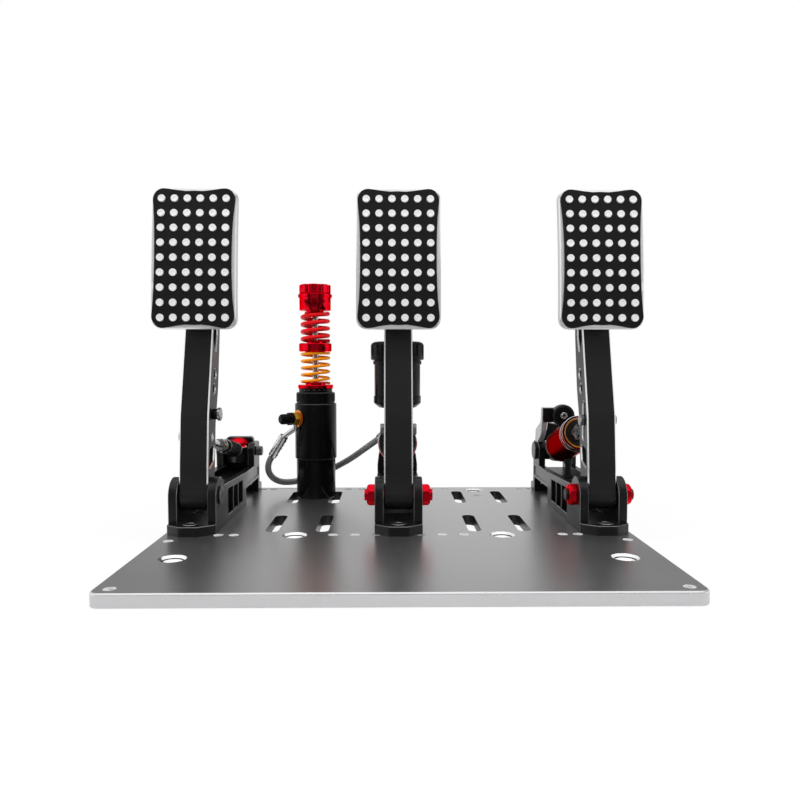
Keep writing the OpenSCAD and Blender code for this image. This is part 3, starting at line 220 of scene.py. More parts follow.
# finishes: colour, metal share, roughness range, grain size, depth of its bump,
# and where a piece has them the lathe's axis and the level and tint of the gloss
upAxis = (0, 0, 1)
sideAxis = (1, 0, 0)
rearAxis = (0, 1, 0)
throttleAxis = (0, -0.959, 0.2835)
brakeAxis = (0, 0.9636, -0.2672)
finishes = {
    "satinPlate": dict(color=(0.61, 0.61, 0.615), metal=0.97, rough=(0.30, 0.32), scale=2600, shift=0.10, bump=0.05),
    "plateRim": dict(color=(0.60, 0.60, 0.61), metal=0.1, rough=(0.4, 0.5), scale=1800, shift=0.08, bump=0.04),
    # painted highlight: the plate's top outer chamfer is coloured lighter than the plate
    "platedEdge": dict(color=(0.80, 0.80, 0.81), metal=0.7, rough=(0.25, 0.33), scale=1800, shift=0.06, bump=0.004),
    # painted light: the cut walls of holes and countersinks are coloured near-white, as if lit
    "boredWall": dict(color=(0.95, 0.95, 0.96), metal=0.15, rough=(0.2, 0.3),
                      scale=1500, shift=0.05, bump=0.02, axis=upAxis),
    # painted shade: the slot walls are coloured near-black, as if in shadow
    "slotWall": dict(color=(0.035, 0.035, 0.037), metal=0.3, rough=(0.3, 0.42),
                     scale=1500, shift=0.25, bump=0.03, spec=0.3),
    "blackAnodised": dict(color=(0.005, 0.005, 0.0055), metal=0.0, rough=(0.26, 0.33),
                          scale=3200, shift=0.30, bump=0.04, spec=0.38),
    "armSatin": dict(color=(0.012, 0.012, 0.0125), metal=0.0, rough=(0.34, 0.40),
                     scale=3200, shift=0.25, bump=0.04, spec=0.3),
    "blackTurned": dict(color=(0.004, 0.004, 0.0045), metal=0.0, rough=(0.18, 0.25), scale=3200, shift=0.25, bump=0.03,
                        axis=upAxis, spec=0.15),
    # painted highlight: a faintly lighter grey on dark bevels and on the dial's thin ring
    "softEdge": dict(color=(0.045, 0.045, 0.047), metal=0.4, rough=(0.3, 0.4),
                     scale=1800, shift=0.2, bump=0.02, spec=0.3),
    # painted highlight: a lighter grey on the black parts' bevels, where light catches their edges
    "frameEdge": dict(color=(0.16, 0.16, 0.165), metal=0.6, rough=(0.22, 0.32), scale=1800, shift=0.2, bump=0.02),
    "brightCut": dict(color=(0.93, 0.93, 0.94), metal=1.0, rough=(0.27, 0.31), scale=1500, shift=0.03, bump=0.004),
    "silverBlast": dict(color=(0.70, 0.70, 0.71), metal=0.25, rough=(0.38, 0.48), scale=2800, shift=0.08, bump=0.06),
    "studFace": dict(color=(0.80, 0.80, 0.81), metal=0.15, rough=(0.34, 0.46), scale=2200, shift=0.12, bump=0.03),
    "turnedSteel": dict(color=(0.58, 0.58, 0.60), metal=1.0, rough=(0.17, 0.27),
                        scale=1400, shift=0.12, bump=0.03, axis=brakeAxis),
    "chromed": dict(color=(0.78, 0.78, 0.80), metal=1.0, rough=(0.09, 0.15), scale=1200, shift=0.06, bump=0.02),
    "bearingBronze": dict(color=(0.55, 0.34, 0.13), metal=1.0, rough=(0.26, 0.38),
                          scale=1500, shift=0.16, bump=0.03, axis=sideAxis),
    "copperWasher": dict(color=(0.78, 0.27, 0.07), metal=1.0, rough=(0.24, 0.34), scale=1500, shift=0.14, bump=0.03),
    "redAnodised": dict(color=(0.88, 0.006, 0.022), metal=1.0, rough=(0.15, 0.20), scale=2400, shift=0.10, bump=0.001,
                        axis=upAxis, tint=(1.0, 0.16, 0.2)),
    "redNut": dict(color=(0.86, 0.008, 0.022), metal=0.9, rough=(0.2, 0.26), scale=2400, shift=0.10, bump=0.003,
                   axis=sideAxis, tint=(1.0, 0.2, 0.24)),
    "redCup": dict(color=(0.34, 0.003, 0.010), metal=1.0, rough=(0.22, 0.28), scale=2400, shift=0.12, bump=0.004,
                   axis=throttleAxis, tint=(0.5, 0.08, 0.10)),
    "redCoat": dict(color=(0.76, 0.005, 0.009), metal=0.0, rough=(0.28, 0.38),
                    scale=900, shift=0.12, bump=0.04, spec=0.18),
    "yellowCoat": dict(color=(1.0, 0.33, 0.002), metal=0.0, rough=(0.28, 0.38),
                       scale=900, shift=0.10, bump=0.04, spec=0.16),
    "goldPlate": dict(color=(0.98, 0.50, 0.04), metal=0.9, rough=(0.2, 0.28), scale=1600, shift=0.12, bump=0.02),
    "mouldedBlack": dict(color=(0.005, 0.005, 0.0055), metal=0.0, rough=(0.16, 0.22),
                         scale=1600, shift=0.3, bump=0.03, spec=0.1),
    # grey anodised parts and bevels, and also the painted shade on the left face of each countersink
    "greyAnodised": dict(color=(0.30, 0.30, 0.31), metal=0.8, rough=(0.28, 0.38), scale=2600, shift=0.12, bump=0.04),
    "darkSteel": dict(color=(0.05, 0.05, 0.054), metal=0.85, rough=(0.22, 0.32), scale=1600, shift=0.2, bump=0.03),
    # painted highlight: the lighter grey of the dashes on the slave's sleeve
    "glintGrey": dict(color=(0.07, 0.07, 0.07), metal=0.0, rough=(0.45, 0.6), scale=1500, shift=0.12, bump=0.05),
    "rubberTip": dict(color=(0.012, 0.012, 0.012), metal=0.0, rough=(0.55, 0.7),
                      scale=1400, shift=0.3, bump=0.12, spec=0.3),
}
grainDepth = 0.4 * mm
lathePitch = 0.35 * mm


def newMaterial(name):
    material = bpy.data.materials.new(name)
    material.use_nodes = True
    return material, material.node_tree, material.node_tree.nodes["Principled BSDF"]


def grainedMaterial(name, finish):
    material, tree, shader = newMaterial(name)
    grain = addNode(tree, "ShaderNodeGroup", node_tree=skinGrain)
    wire(tree, grain, {"Color": (*finish["color"], 1), "Scale": finish["scale"], "Shift": finish["shift"],
                       "Rough Low": finish["rough"][0], "Rough High": finish["rough"][1]})
    color, height = grain.outputs["Color"], grain.outputs["Height"]
    if "axis" in finish:
        lines = addNode(tree, "ShaderNodeGroup", node_tree=latheLines)
        wire(tree, lines, {"Axis": finish["axis"], "Pitch": lathePitch})
        height = mathNode(tree, "ADD", height, lines.outputs["Height"])
        color = scaleNode(tree, color, lines.outputs["Shade"])
    bump = addNode(tree, "ShaderNodeBump", {"Strength": finish["bump"], "Distance": grainDepth, "Height": height})
    wire(tree, shader, {
        "Base Color": color, "Roughness": grain.outputs["Roughness"], "Normal": bump.outputs[0],
        "Metallic": finish["metal"], "Specular IOR Level": finish.get("spec", 0.5),
        "Specular Tint": (*finish.get("tint", (1, 1, 1)), 1)})
    layOut(tree)
    return material


# woven covers: what draws their threads, dark and light, strength and depth of the relief, roughness between threads
covers = {
    "twillGrip": dict(weave=twillWeave, sizes={"Pitch": 0.62 * mm}, mask="Over", dark=(0.0015, 0.0015, 0.0018),
                      light=(0.011, 0.011, 0.0115), relief=(0.35, 0.2 * mm), rough=(0.34, 0.5), metal=0.0, spec=0.3),
    "braidedHose": dict(weave=braidCover, sizes={}, mask="Strand", dark=(0.08, 0.08, 0.083),
                        light=(0.42, 0.42, 0.43), relief=(0.4, 0.4 * mm), rough=(0.42, 0.42), metal=0.25, spec=0.5),
}


def wovenMaterial(name, cover):
    material, tree, shader = newMaterial(name)
    weave = addNode(tree, "ShaderNodeGroup", node_tree=cover["weave"])
    wire(tree, weave, cover["sizes"])
    mask = weave.outputs[cover["mask"]]
    threads = {0: mask, 6: (*cover["dark"], 1), 7: (*cover["light"], 1)}
    colors = addNode(tree, "ShaderNodeMix", threads, data_type="RGBA")
    strength, depth = cover["relief"]
    bump = addNode(tree, "ShaderNodeBump", {"Strength": strength, "Distance": depth, "Height": weave.outputs["Height"]})
    rough, most = cover["rough"]
    if most > rough:
        rough = addNode(tree, "ShaderNodeMapRange", {"Value": mask, "To Min": rough, "To Max": most}).outputs[0]
    wire(tree, shader, {"Base Color": colors.outputs[2], "Normal": bump.outputs[0], "Roughness": rough,
                        "Metallic": cover["metal"], "Specular IOR Level": cover["spec"]})
    layOut(tree)
    return material


look = {name: grainedMaterial(name, finish) for name, finish in finishes.items()}
for name, cover in covers.items():
    look[name] = wovenMaterial(name, cover)
print("finishes made:", len(look))


# mesh helpers
def newPiece(name, mesh, body, *materials):
    piece = bpy.data.objects.new(name, mesh)
    scene.collection.objects.link(piece)
    if not mesh.materials:
        for material in materials:
            mesh.materials.append(look[material])
    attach(piece, body)
    return piece


def smoothed(mesh, angle=32):
    mesh.shade_smooth()
    mesh.set_sharp_from_angle(angle=math.radians(angle))
    return mesh


def kept(shape, name):
    mesh = bpy.data.meshes.new(name)
    shape.to_mesh(mesh)
    shape.free()
    return mesh


def roundAngles(count):
    return [2 * math.pi * k / count for k in range(count)]


# round tube along a list of points, closed at both ends, with its length and girth in a UV map
def sweepMesh(name, points, radius, sides):
    tube = bmesh.new()
    uvLayer = tube.loops.layers.uv.new("run")
    count = len(points)
    heading = [(points[min(i + 1, count - 1)] - points[max(i - 1, 0)]).normalized() for i in range(count)]
    across = heading[0].orthogonal().normalized()
    run, rings = [0.0], []
    for i in range(count):
        across = (across - heading[i] * across.dot(heading[i])).normalized()
        other = heading[i].cross(across)
        rings.append([tube.verts.new(points[i] + radius * (math.cos(a) * across + math.sin(a) * other))
                      for a in roundAngles(sides)])
        if i:
            run.append(run[-1] + (points[i] - points[i - 1]).length)
    for i in range(count - 1):
        for k in range(sides):
            n = (k + 1) % sides
            face = tube.faces.new((rings[i][k], rings[i][n], rings[i + 1][n], rings[i + 1][k]))
            face.smooth = True
            for loop, (r, c) in zip(face.loops, ((i, k), (i, k + 1), (i + 1, k + 1), (i + 1, k))):
                loop[uvLayer].uv = (run[r] / run[-1], c / sides)
    tube.faces.new(list(reversed(rings[0])))
    tube.faces.new(rings[-1])
    bmesh.ops.recalc_face_normals(tube, faces=tube.faces)
    return kept(tube, name), run[-1]


# profile of (radius, height) pairs in mm turned about +Z, then moved by a matrix
def turnedMesh(name, profile, segments, place=None):
    shape = bmesh.new()
    nearZero = 1e-7
    rings = []
    for radius, height in profile:
        radius, height = radius * mm, height * mm
        if radius < nearZero:
            rings.append([shape.verts.new((0, 0, height))])
        else:
            rings.append([shape.verts.new((radius * math.cos(a), radius * math.sin(a), height))
                          for a in roundAngles(segments)])
    for low, high in zip(rings, rings[1:]):
        for k in range(segments):
            n = (k + 1) % segments
            corners = []
            for vert in (low[k % len(low)], low[n % len(low)], high[n % len(high)], high[k % len(high)]):
                if vert not in corners:
                    corners.append(vert)
            if len(corners) > 2:
                shape.faces.new(corners)
    bmesh.ops.remove_doubles(shape, verts=shape.verts, dist=nearZero)
    bmesh.ops.recalc_face_normals(shape, faces=shape.faces)
    if place is not None:
        bmesh.ops.transform(shape, matrix=place, verts=shape.verts)
    return smoothed(kept(shape, name))


# solid between two outlines in mm that have as many points
def prismMesh(name, low, high):
    shape = bmesh.new()
    low = [shape.verts.new(Vector(point) * mm) for point in low]
    high = [shape.verts.new(Vector(point) * mm) for point in high]
    for k in range(len(low)):
        n = (k + 1) % len(low)
        shape.faces.new((low[k], low[n], high[n], high[k]))
    shape.faces.new(list(reversed(low)))
    shape.faces.new(high)
    bmesh.ops.recalc_face_normals(shape, faces=shape.faces)
    return kept(shape, name)


# copy of a solid with its outer edges broken by a fine bevel; paint gives a face the number of another finish
dressing = {"weld": 2e-6, "flat": 0.5, "edge": 28, "smooth": 18}


def dressedSolid(node, coats, width, slot, keepEdge=None, paint=None, mould=None):
    source = frame["nodes"][node]
    shape = bmesh.new()
    shape.from_mesh(source.data)
    bmesh.ops.remove_doubles(shape, verts=shape.verts, dist=dressing["weld"])
    bmesh.ops.dissolve_limit(shape, angle_limit=math.radians(dressing["flat"]), verts=shape.verts, edges=shape.edges)
    if mould:
        for vert in shape.verts:
            vert.co = mould(vert.co / mm) * mm
    for face in shape.faces:
        face.material_index = paint(face.calc_center_median() / mm, face.normal) if paint else 0
    sharp = [e for e in shape.edges if len(e.link_faces) == 2 and e.is_convex
             and e.calc_face_angle(0) > math.radians(dressing["edge"]) and (keepEdge is None or keepEdge(e))]
    if sharp:
        bmesh.ops.bevel(shape, geom=sharp, offset=width * mm, offset_type="OFFSET", segments=1, profile=0.5,
                        affect="EDGES", clamp_overlap=False, loop_slide=True, material=1)
    mesh = smoothed(kept(shape, node + "Dressed"), dressing["smooth"])
    piece = newPiece(node + "Dressed", mesh, source["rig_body"], *coats)
    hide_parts(node)
    return piece


# the hose between the two cylinders, on the same points as its solid
hoseRun = {
    "radius": 3.375, "sides": 16, "perSpan": 5,
    "points": [(-134.3, 131, 54.4), (-138, 133, 48.5), (-139.9, 135.6, 42), (-139.7, 138.8, 35.6),
               (-137.2, 142.5, 29.8), (-132.7, 146.6, 25.3), (-126.5, 150.8, 22.6), (-118.5, 155, 21.8),
               (-109, 158.8, 22.6), (-98.5, 162, 24.9), (-87, 163.8, 28.6), (-76, 163.3, 33.6),
               (-65, 160.5, 39.6), (-55, 155, 45.8), (-45.5, 148, 52.6), (-36, 140, 60.2),
               (-27.5, 132.5, 67), (-19, 126, 73.8)],
}


def throughPoints(points, perSpan):
    line = []
    for i in range(len(points) - 1):
        a, b, c, d = (points[min(max(i + k, 0), len(points) - 1)] for k in (-1, 0, 1, 2))
        for s in range(perSpan):
            t = s / perSpan
            line.append(0.5 * (2 * b + (c - a) * t + (2 * a - 5 * b + 4 * c - d) * t ** 2
                               + (3 * b - a - 3 * c + d) * t ** 3))
    return line + [points[-1]]


hosePath = throughPoints([Vector(p) * mm for p in hoseRun["points"]], hoseRun["perSpan"])
hoseMesh, hoseLength = sweepMesh("brakeHose", hosePath, hoseRun["radius"] * mm, hoseRun["sides"])
hose = newPiece("brakeHose", hoseMesh, "base", "braidedHose")
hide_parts("hose")
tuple(hosePath[0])
print("hose laid: %.0f mm" % (hoseLength / mm))


# lines on which the two spring units lie, from the rear pin to the pin in the arm
rearPin = {"y": 150.0, "z": 57.5}
armPin = {"clutch": 90, "throttle": 104.5, "ahead": 159}
linkTilt = {pedal: math.atan2(armPin[pedal] - rearPin["z"], armPin["ahead"]) for pedal in ("clutch", "throttle")}


def linkPlace(pedal):
    return (Matrix.Translation((moduleX[pedal], rearPin["y"] * mm, rearPin["z"] * mm))
            @ Matrix.Rotation(math.pi / 2 - linkTilt[pedal], 4, "X"))


def alongLink(pedal, point):
    return (linkPlace(pedal).inverted() @ (point * mm)).z / mm


# which finish a face of a many-coated solid takes
plateShape = {"half": (200, 189), "corner": 8, "rim": 0.9, "bevelReach": 3, "slotHalf": (7, 34),
              "slotsX": (66.5, 110), "slotsY": (5.75, 129.5), "sinks": ((169.5, -109), (88, -38.5), (88, 170))}


def fromPlateEdge(point):
    corner = plateShape["corner"]
    x, y = (abs(value) - half + corner for value, half in zip((point.x, point.y), plateShape["half"]))
    return math.hypot(max(x, 0), max(y, 0)) + min(max(x, y), 0) - corner


def paintPlate(point, normal):
    # the top chamfer of the plate's rim takes the lighter painted highlight
    if fromPlateEdge(point) > -plateShape["rim"] and normal.z > -0.5:
        return 1 if normal.z > 0.3 else 2
    if abs(normal.z) > 0.9:
        return 0
    halfX, halfY = plateShape["slotHalf"]
    # faces inside the slots take the near-black painted shade
    inSlot = any(abs(abs(point.x) - x) < halfX and abs(point.y - y) < halfY
                 for x in plateShape["slotsX"] for y in plateShape["slotsY"])
    # the left face of each countersink is painted a darker grey as shade; the other hole and countersink walls take the
    # near-white painted light
    shadedSinkSide = normal.z > 0.2 and normal.x > 0.93 * math.hypot(normal.x, normal.y)
    return 4 if inSlot else 5 if shadedSinkSide else 3


def onPlateEdge(edge):
    return all(fromPlateEdge(v.co / mm) > -plateShape["bevelReach"] for v in edge.verts)


# where finishes change, in mm: along a rod from its unit's rear pin, or on an axis of the frame
rodBands = {"clutch": {"dark": (57.9, 61.1), "bronze": (73.9, 77.1)},
            "throttle": {"dark": (98.9, 103.1), "bronze": (157, math.inf)}}
coatEnds = {"cupSeat": 12.5, "stopBoltLow": 100, "stopBoltSides": (-163.6, -158.3),
            "bracketTop": 90.7, "dialFront": 111.9}


def paintRod(pedal):
    (darkLow, darkHigh), (bronzeLow, bronzeHigh) = rodBands[pedal]["dark"], rodBands[pedal]["bronze"]

    def paint(point, normal):
        along = alongLink(pedal, point)
        return 2 if darkLow < along < darkHigh else 3 if bronzeLow < along < bronzeHigh else 0
    return paint


# the block's upward faces stay red; its side faces take dark steel as painted shade, and the guide in front of the seat
# is dark steel
def paintClutchCup(point, normal):
    return 0 if normal.z > 0.25 and alongLink("clutch", point) < coatEnds["cupSeat"] else 2


def paintClutchPin(point, normal):
    left, right = coatEnds["stopBoltSides"]
    return 2 if point.z > coatEnds["stopBoltLow"] and left < point.x < right else 0


def paintBracket(point, normal):
    return 2 if point.z > coatEnds["bracketTop"] else 0


def paintDial(point, normal):
    return 2 if point.y < coatEnds["dialFront"] else 0


# grips reach the pad's corners and draw in between them
gripShape = {"middle": 245.0, "halfWidth": 35.5, "halfHeight": 60.0, "corner": 0.7, "drawHalf": 0.7,
             "top": (1.4, 0.5), "low": (1.7, 0.7), "endBand": (0.925, 0.02),
             "cornerBand": (0.55, 0.35), "sideBand": (0.9, 0.05)}


def within(value, band):
    return min(max((value - band[0]) / band[1], 0), 1)


def mouldGrip(x):
    def shift(point):
        u = (point.x - x) / gripShape["halfWidth"]
        v = (point.z - gripShape["middle"]) / gripShape["halfHeight"]
        draw = 0.5 + 0.5 * math.cos(math.pi * min(abs(u) / gripShape["drawHalf"], 1))
        out, inward = gripShape["top"] if v > 0 else gripShape["low"]
        rise = (out - (out + inward) * draw) * within(abs(v), gripShape["endBand"])
        widen = gripShape["corner"] * within(abs(v), gripShape["cornerBand"]) * within(abs(u), gripShape["sideBand"])
        return point + Vector((math.copysign(widen, u), 0, math.copysign(rise, v)))
    return shift


# metal pieces that keep the shape of their solids: finishes, width of the bevel, slot and what paints their faces
dressed = {
    "module_screws": (("darkSteel", "greyAnodised"), 0.4, "black_metal", None),
    "clutch_axle_caps": (("darkSteel", "greyAnodised"), 0.4, "black_plastic", None),
    "brake_axle_nuts": (("redNut", "redNut"), 0.4, "red_metal", None),
    "throttle_axle_nuts": (("redNut", "redNut"), 0.4, "red_metal", None),
    "clutch_rear_block": (("blackAnodised", "frameEdge"), 0.6, "black_metal", None),
    "throttle_rear_block": (("blackAnodised", "frameEdge"), 0.6, "black_metal", None),
    "clutch_rear_pin": (("blackAnodised", "greyAnodised"), 0.6, "black_metal", None),
    "throttle_rear_pin": (("blackAnodised", "greyAnodised"), 0.6, "black_metal", None),
    "clutch_cup": (("redNut", "brightCut", "darkSteel"), 0.45, "red_metal", paintClutchCup),
    "throttle_cup": (("redCup", "brightCut"), 0.35, "red_metal", None),
    "throttle_cup_base": (("blackAnodised", "frameEdge"), 0.5, "black_metal", None),
    "throttle_dial": (("mouldedBlack", "softEdge", "studFace"), 0.7, "black_plastic", paintDial),
    "dial_bracket": (("silverBlast", "brightCut", "blackAnodised"), 0.6, "grey_metal", paintBracket),
    "brake_cradle": (("blackAnodised", "frameEdge"), 0.5, "black_metal", None),
    "master_cylinder": (("blackAnodised", "frameEdge"), 0.5, "black_metal", None),
    "master_ring": (("redNut", "brightCut"), 0.4, "red_metal", None),
    "master_piston": (("turnedSteel", "turnedSteel"), 0.4, "steel", None),
    "reservoir": (("mouldedBlack", "mouldedBlack"), 0.4, "black_plastic", None),
    "reservoir_cap": (("mouldedBlack", "mouldedBlack"), 0.4, "black_plastic", None),
    "slave_body": (("blackTurned", "softEdge"), 0.8, "black_metal", None),
    "slave_lock_ring": (("blackTurned", "softEdge"), 0.6, "black_metal", None),
    "slave_piston": (("blackTurned", "blackTurned"), 0.3, "black_metal", None),
    "slave_flange": (("redAnodised", "redAnodised"), 0.5, "red_metal", None),
    "slave_collar": (("redAnodised", "redAnodised"), 1.0, "red_metal", None),
    "slave_top_cup": (("redAnodised", "redAnodised"), 0.5, "red_metal", None),
    "slave_knob": (("redAnodised", "redAnodised"), 0.8, "red_metal", None),
    "slave_rod": (("turnedSteel", "turnedSteel"), 0.5, "steel", None),
    "banjo_bolts": (("goldPlate", "goldPlate"), 0.5, "gold_metal", None),
    "bleed_cap": (("mouldedBlack", "mouldedBlack"), 0.5, "black_plastic", None),
    "hose_fittings": (("chromed", "chromed"), 0.4, "grey_metal", None),
    "clutch_rod": (("turnedSteel", "turnedSteel", "darkSteel", "bearingBronze"), 0.4, "steel", paintRod("clutch")),
    "brake_rod": (("turnedSteel", "turnedSteel"), 0.4, "steel", None),
    "throttle_rod": (("turnedSteel", "turnedSteel", "darkSteel", "bearingBronze"), 0.4, "steel", paintRod("throttle")),
    "clutch_rod_pin": (("turnedSteel", "turnedSteel", "blackAnodised"), 0.5, "steel", paintClutchPin),
    "brake_rod_pin": (("greyAnodised", "turnedSteel"), 0.5, "steel", None),
    "throttle_rod_pin": (("greyAnodised", "turnedSteel"), 0.5, "steel", None),
}
for pedal in moduleX:
    dressed[pedal + "_frame"] = (("blackAnodised", "frameEdge"), 0.5, "black_metal", None)
    axleCoats = ("redNut", "redNut") if pedal == "brake" else ("blackAnodised", "softEdge")
    dressed[pedal + "_axle"] = (axleCoats, 0.3, "steel", None)
    dressed[pedal + "_bushes"] = (("bearingBronze", "bearingBronze"), 0.2, "bronze", None)
    dressed[pedal + "_arm"] = (("armSatin", "brightCut"), 1.1, "black_metal", None)
for node, (coats, width, slot, paint) in dressed.items():
    dressedSolid(node, coats, width, slot, paint=paint)
dressedSolid("base_plate", ("satinPlate", "platedEdge", "plateRim", "boredWall", "slotWall", "greyAnodised"), 0.25,
             "plate_grey", keepEdge=onPlateEdge, paint=paintPlate)
for pedal, x in moduleX.items():
    dressedSolid(pedal + "_grip", ("twillGrip", "twillGrip"), 0.3, "grip_black", mould=mouldGrip(x / mm))
print("solids dressed:", len(dressed) + 1 + len(moduleX))


# pads: silver plate with polished rims, and a dished face on each stud
padShape = {"curve": 600.0, "front": 597.98, "rimReach": 598.4, "axisY": 579.0, "axisZ": 185.0, "middle": 245.0,
            "columns": 6, "rows": 9, "pitchX": 11.1, "pitchZ": 12.85, "rim": 1.0}
studShape = {"radius": 3.23, "top": 3.05, "foot": 1.4, "ease": 0.35, "segments": 20,
             "dish": ((1.9, 0.02), (1.5, 0.16), (0, 0.2))}  # radius and depth


def onPadRim(edge):
    return all(math.hypot(v.co.y / mm - padShape["axisY"], v.co.z / mm - padShape["axisZ"]) < padShape["rimReach"]
               for v in edge.verts)


for pedal in moduleX:
    dressedSolid(pedal + "_pad", ("silverBlast", "brightCut"), padShape["rim"], "silver_metal", keepEdge=onPadRim)


def geometryTree(name, inputs):
    tree = bpy.data.node_groups.new(name, "GeometryNodeTree")
    tree.interface.new_socket(name="Geometry", in_out="INPUT", socket_type="NodeSocketGeometry")
    for label, kind in inputs.items():
        tree.interface.new_socket(name=label, in_out="INPUT", socket_type="NodeSocket" + kind)
    tree.interface.new_socket(name="Geometry", in_out="OUTPUT", socket_type="NodeSocketGeometry")
    return tree, addNode(tree, "NodeGroupInput").outputs, addNode(tree, "NodeGroupOutput")


# end of a tree: a turned copy of the item on each point, made real and coated
def placeCopies(tree, end, points, item, turn, finish):
    source = addNode(tree, "GeometryNodeObjectInfo", {0: item})
    copies = addNode(tree, "GeometryNodeInstanceOnPoints", {
        "Points": points, "Instance": source.outputs["Geometry"], "Rotation": turn})
    real = addNode(tree, "GeometryNodeRealizeInstances", {0: copies.outputs[0]})
    coat = addNode(tree, "GeometryNodeSetMaterial", {"Geometry": real.outputs[0], "Material": finish})
    wire(tree, end, {0: coat.outputs[0]})
    layOut(tree)
    return tree


# rows and columns of studs on the pad's arc
def makeStudTree():
    tree, given, end = geometryTree("padStuds", {
        "Stud": "Object", "Finish": "Material", "Columns": "Int", "Rows": "Int", "Width": "Float", "Height": "Float",
        "Curve": "Float", "Front": "Float", "Axis": "Vector", "Rise": "Float"})
    grid = addNode(tree, "GeometryNodeMeshGrid", {
        "Size X": given["Width"], "Size Y": given["Height"],
        "Vertices X": given["Columns"], "Vertices Y": given["Rows"]})
    place = splitNode(tree, addNode(tree, "GeometryNodeInputPosition").outputs[0])
    lift = mathNode(tree, "ADD", place["Y"], given["Rise"])
    lean = mathNode(tree, "ARCSINE", mathNode(tree, "DIVIDE", lift, given["Curve"]))
    back = mathNode(tree, "MULTIPLY", mathNode(tree, "COSINE", lean), given["Front"])
    up = mathNode(tree, "MULTIPLY", mathNode(tree, "SINE", lean), given["Front"])
    ahead = mathNode(tree, "MULTIPLY", back, -1.0)
    onArc = addNode(tree, "ShaderNodeCombineXYZ", {"X": place["X"], "Y": ahead, "Z": up})
    shifted = addNode(tree, "ShaderNodeVectorMath", {0: onArc.outputs[0], 1: given["Axis"]}, operation="ADD")
    turn = addNode(tree, "ShaderNodeCombineXYZ", {"X": mathNode(tree, "SUBTRACT", math.pi / 2, lean)})
    held = addNode(tree, "GeometryNodeCaptureAttribute", domain="POINT")
    held.capture_items.new("VECTOR", "Turn")
    wire(tree, held, {0: grid.outputs["Mesh"], 1: turn.outputs[0]})
    moved = addNode(tree, "GeometryNodeSetPosition", {"Geometry": held.outputs[0], "Position": shifted.outputs[0]})
    return placeCopies(tree, end, moved.outputs[0], given["Stud"], held.outputs[1], given["Finish"])


# copies of one item round a circle, each turned to face out
def makeRingTree():
    tree, given, end = geometryTree("ringOfItems", {
        "Item": "Object", "Finish": "Material", "Count": "Int", "Radius": "Float"})
    circle = addNode(tree, "GeometryNodeMeshCircle", {"Vertices": given["Count"], "Radius": given["Radius"]})
    share = mathNode(tree, "DIVIDE", addNode(tree, "GeometryNodeInputIndex").outputs[0], given["Count"])
    turn = addNode(tree, "ShaderNodeCombineXYZ", {"Z": mathNode(tree, "MULTIPLY", share, 2 * math.pi)})
    return placeCopies(tree, end, circle.outputs[0], given["Item"], turn.outputs[0], given["Finish"])


# runs a tree on an empty piece and keeps the result as a plain mesh
def grown(name, tree, values, body, material, place=None):
    holder = bpy.data.objects.new(name, bpy.data.meshes.new(name))
    scene.collection.objects.link(holder)
    modifier = holder.modifiers.new(tree.name, "NODES")
    modifier.node_group = tree
    for item in tree.interface.items_tree:
        if item.in_out == "INPUT" and item.name in values:
            modifier[item.identifier] = values[item.name]
    graph = bpy.context.evaluated_depsgraph_get()
    mesh = bpy.data.meshes.new_from_object(holder.evaluated_get(graph))
    bpy.data.objects.remove(holder)
    mesh.name = name
    if place is not None:
        mesh.transform(place)
    return newPiece(name, smoothed(mesh), body, material)


studTree = makeStudTree()
r, top, foot, ease = (studShape[size] for size in ("radius", "top", "foot", "ease"))
studProfile = [(0, foot), (r, foot), (r, top - ease), (r - ease, top)]
studProfile += [(radius, top - depth) for radius, depth in studShape["dish"]]
studMesh = turnedMesh("studFaceShape", studProfile, studShape["segments"])
studSource = bpy.data.objects.new("studFaceShape", studMesh)
for pedal, x in moduleX.items():
    studs = grown(pedal + "Studs", studTree, {
        "Stud": studSource, "Finish": look["studFace"], "Columns": padShape["columns"], "Rows": padShape["rows"],
        "Width": (padShape["columns"] - 1) * padShape["pitchX"] * mm,
        "Height": (padShape["rows"] - 1) * padShape["pitchZ"] * mm,
        "Curve": padShape["curve"] * mm, "Front": padShape["front"] * mm,
        "Axis": (x, padShape["axisY"] * mm, padShape["axisZ"] * mm),
        "Rise": (padShape["middle"] - padShape["axisZ"]) * mm},
        pedal + "_pedal", "studFace")
bpy.data.objects.remove(studSource)
print("pads dressed")


# springs: wire wound with closed end coils
slaveAxis = (-88 * mm, 137 * mm, 0)
springs = {
    "clutch_spring": dict(radius=7.25, wire=2.0, low=18.3, high=56.7, turns=7.0, closed=0.6,
                          finish="darkSteel", slot="steel", body="clutch_guide",
                          joint="clutch_swing", keep=0.48, place=linkPlace("clutch")),
    "throttle_spring": dict(radius=11.75, wire=2.5, low=39.55, high=97.45, turns=8.5, closed=0.6,
                            finish="yellowCoat", slot="yellow_spring", body="throttle_guide",
                            joint="throttle_swing", keep=0.62, place=linkPlace("throttle")),
    "slave_lower_spring": dict(radius=14.6, wire=2.8, low=132.7, high=164.9, turns=5.0, closed=0.35,
                               finish="yellowCoat", slot="yellow_spring", body="slave_ram",
                               joint="slave_ram_slide", keep=0.88, place=Matrix.Translation(slaveAxis)),
    "slave_upper_spring": dict(radius=13.75, wire=4.5, low=178.15, high=208.05, turns=4.4, closed=0.35,
                               finish="redCoat", slot="red_spring", body="stack_collar",
                               joint="stack_collar_slide", keep=0.938, place=Matrix.Translation(slaveAxis)),
}
winding = {"steps": 28, "sides": 12, "endRise": 0.12}  # per turn, round the wire, share of the wire


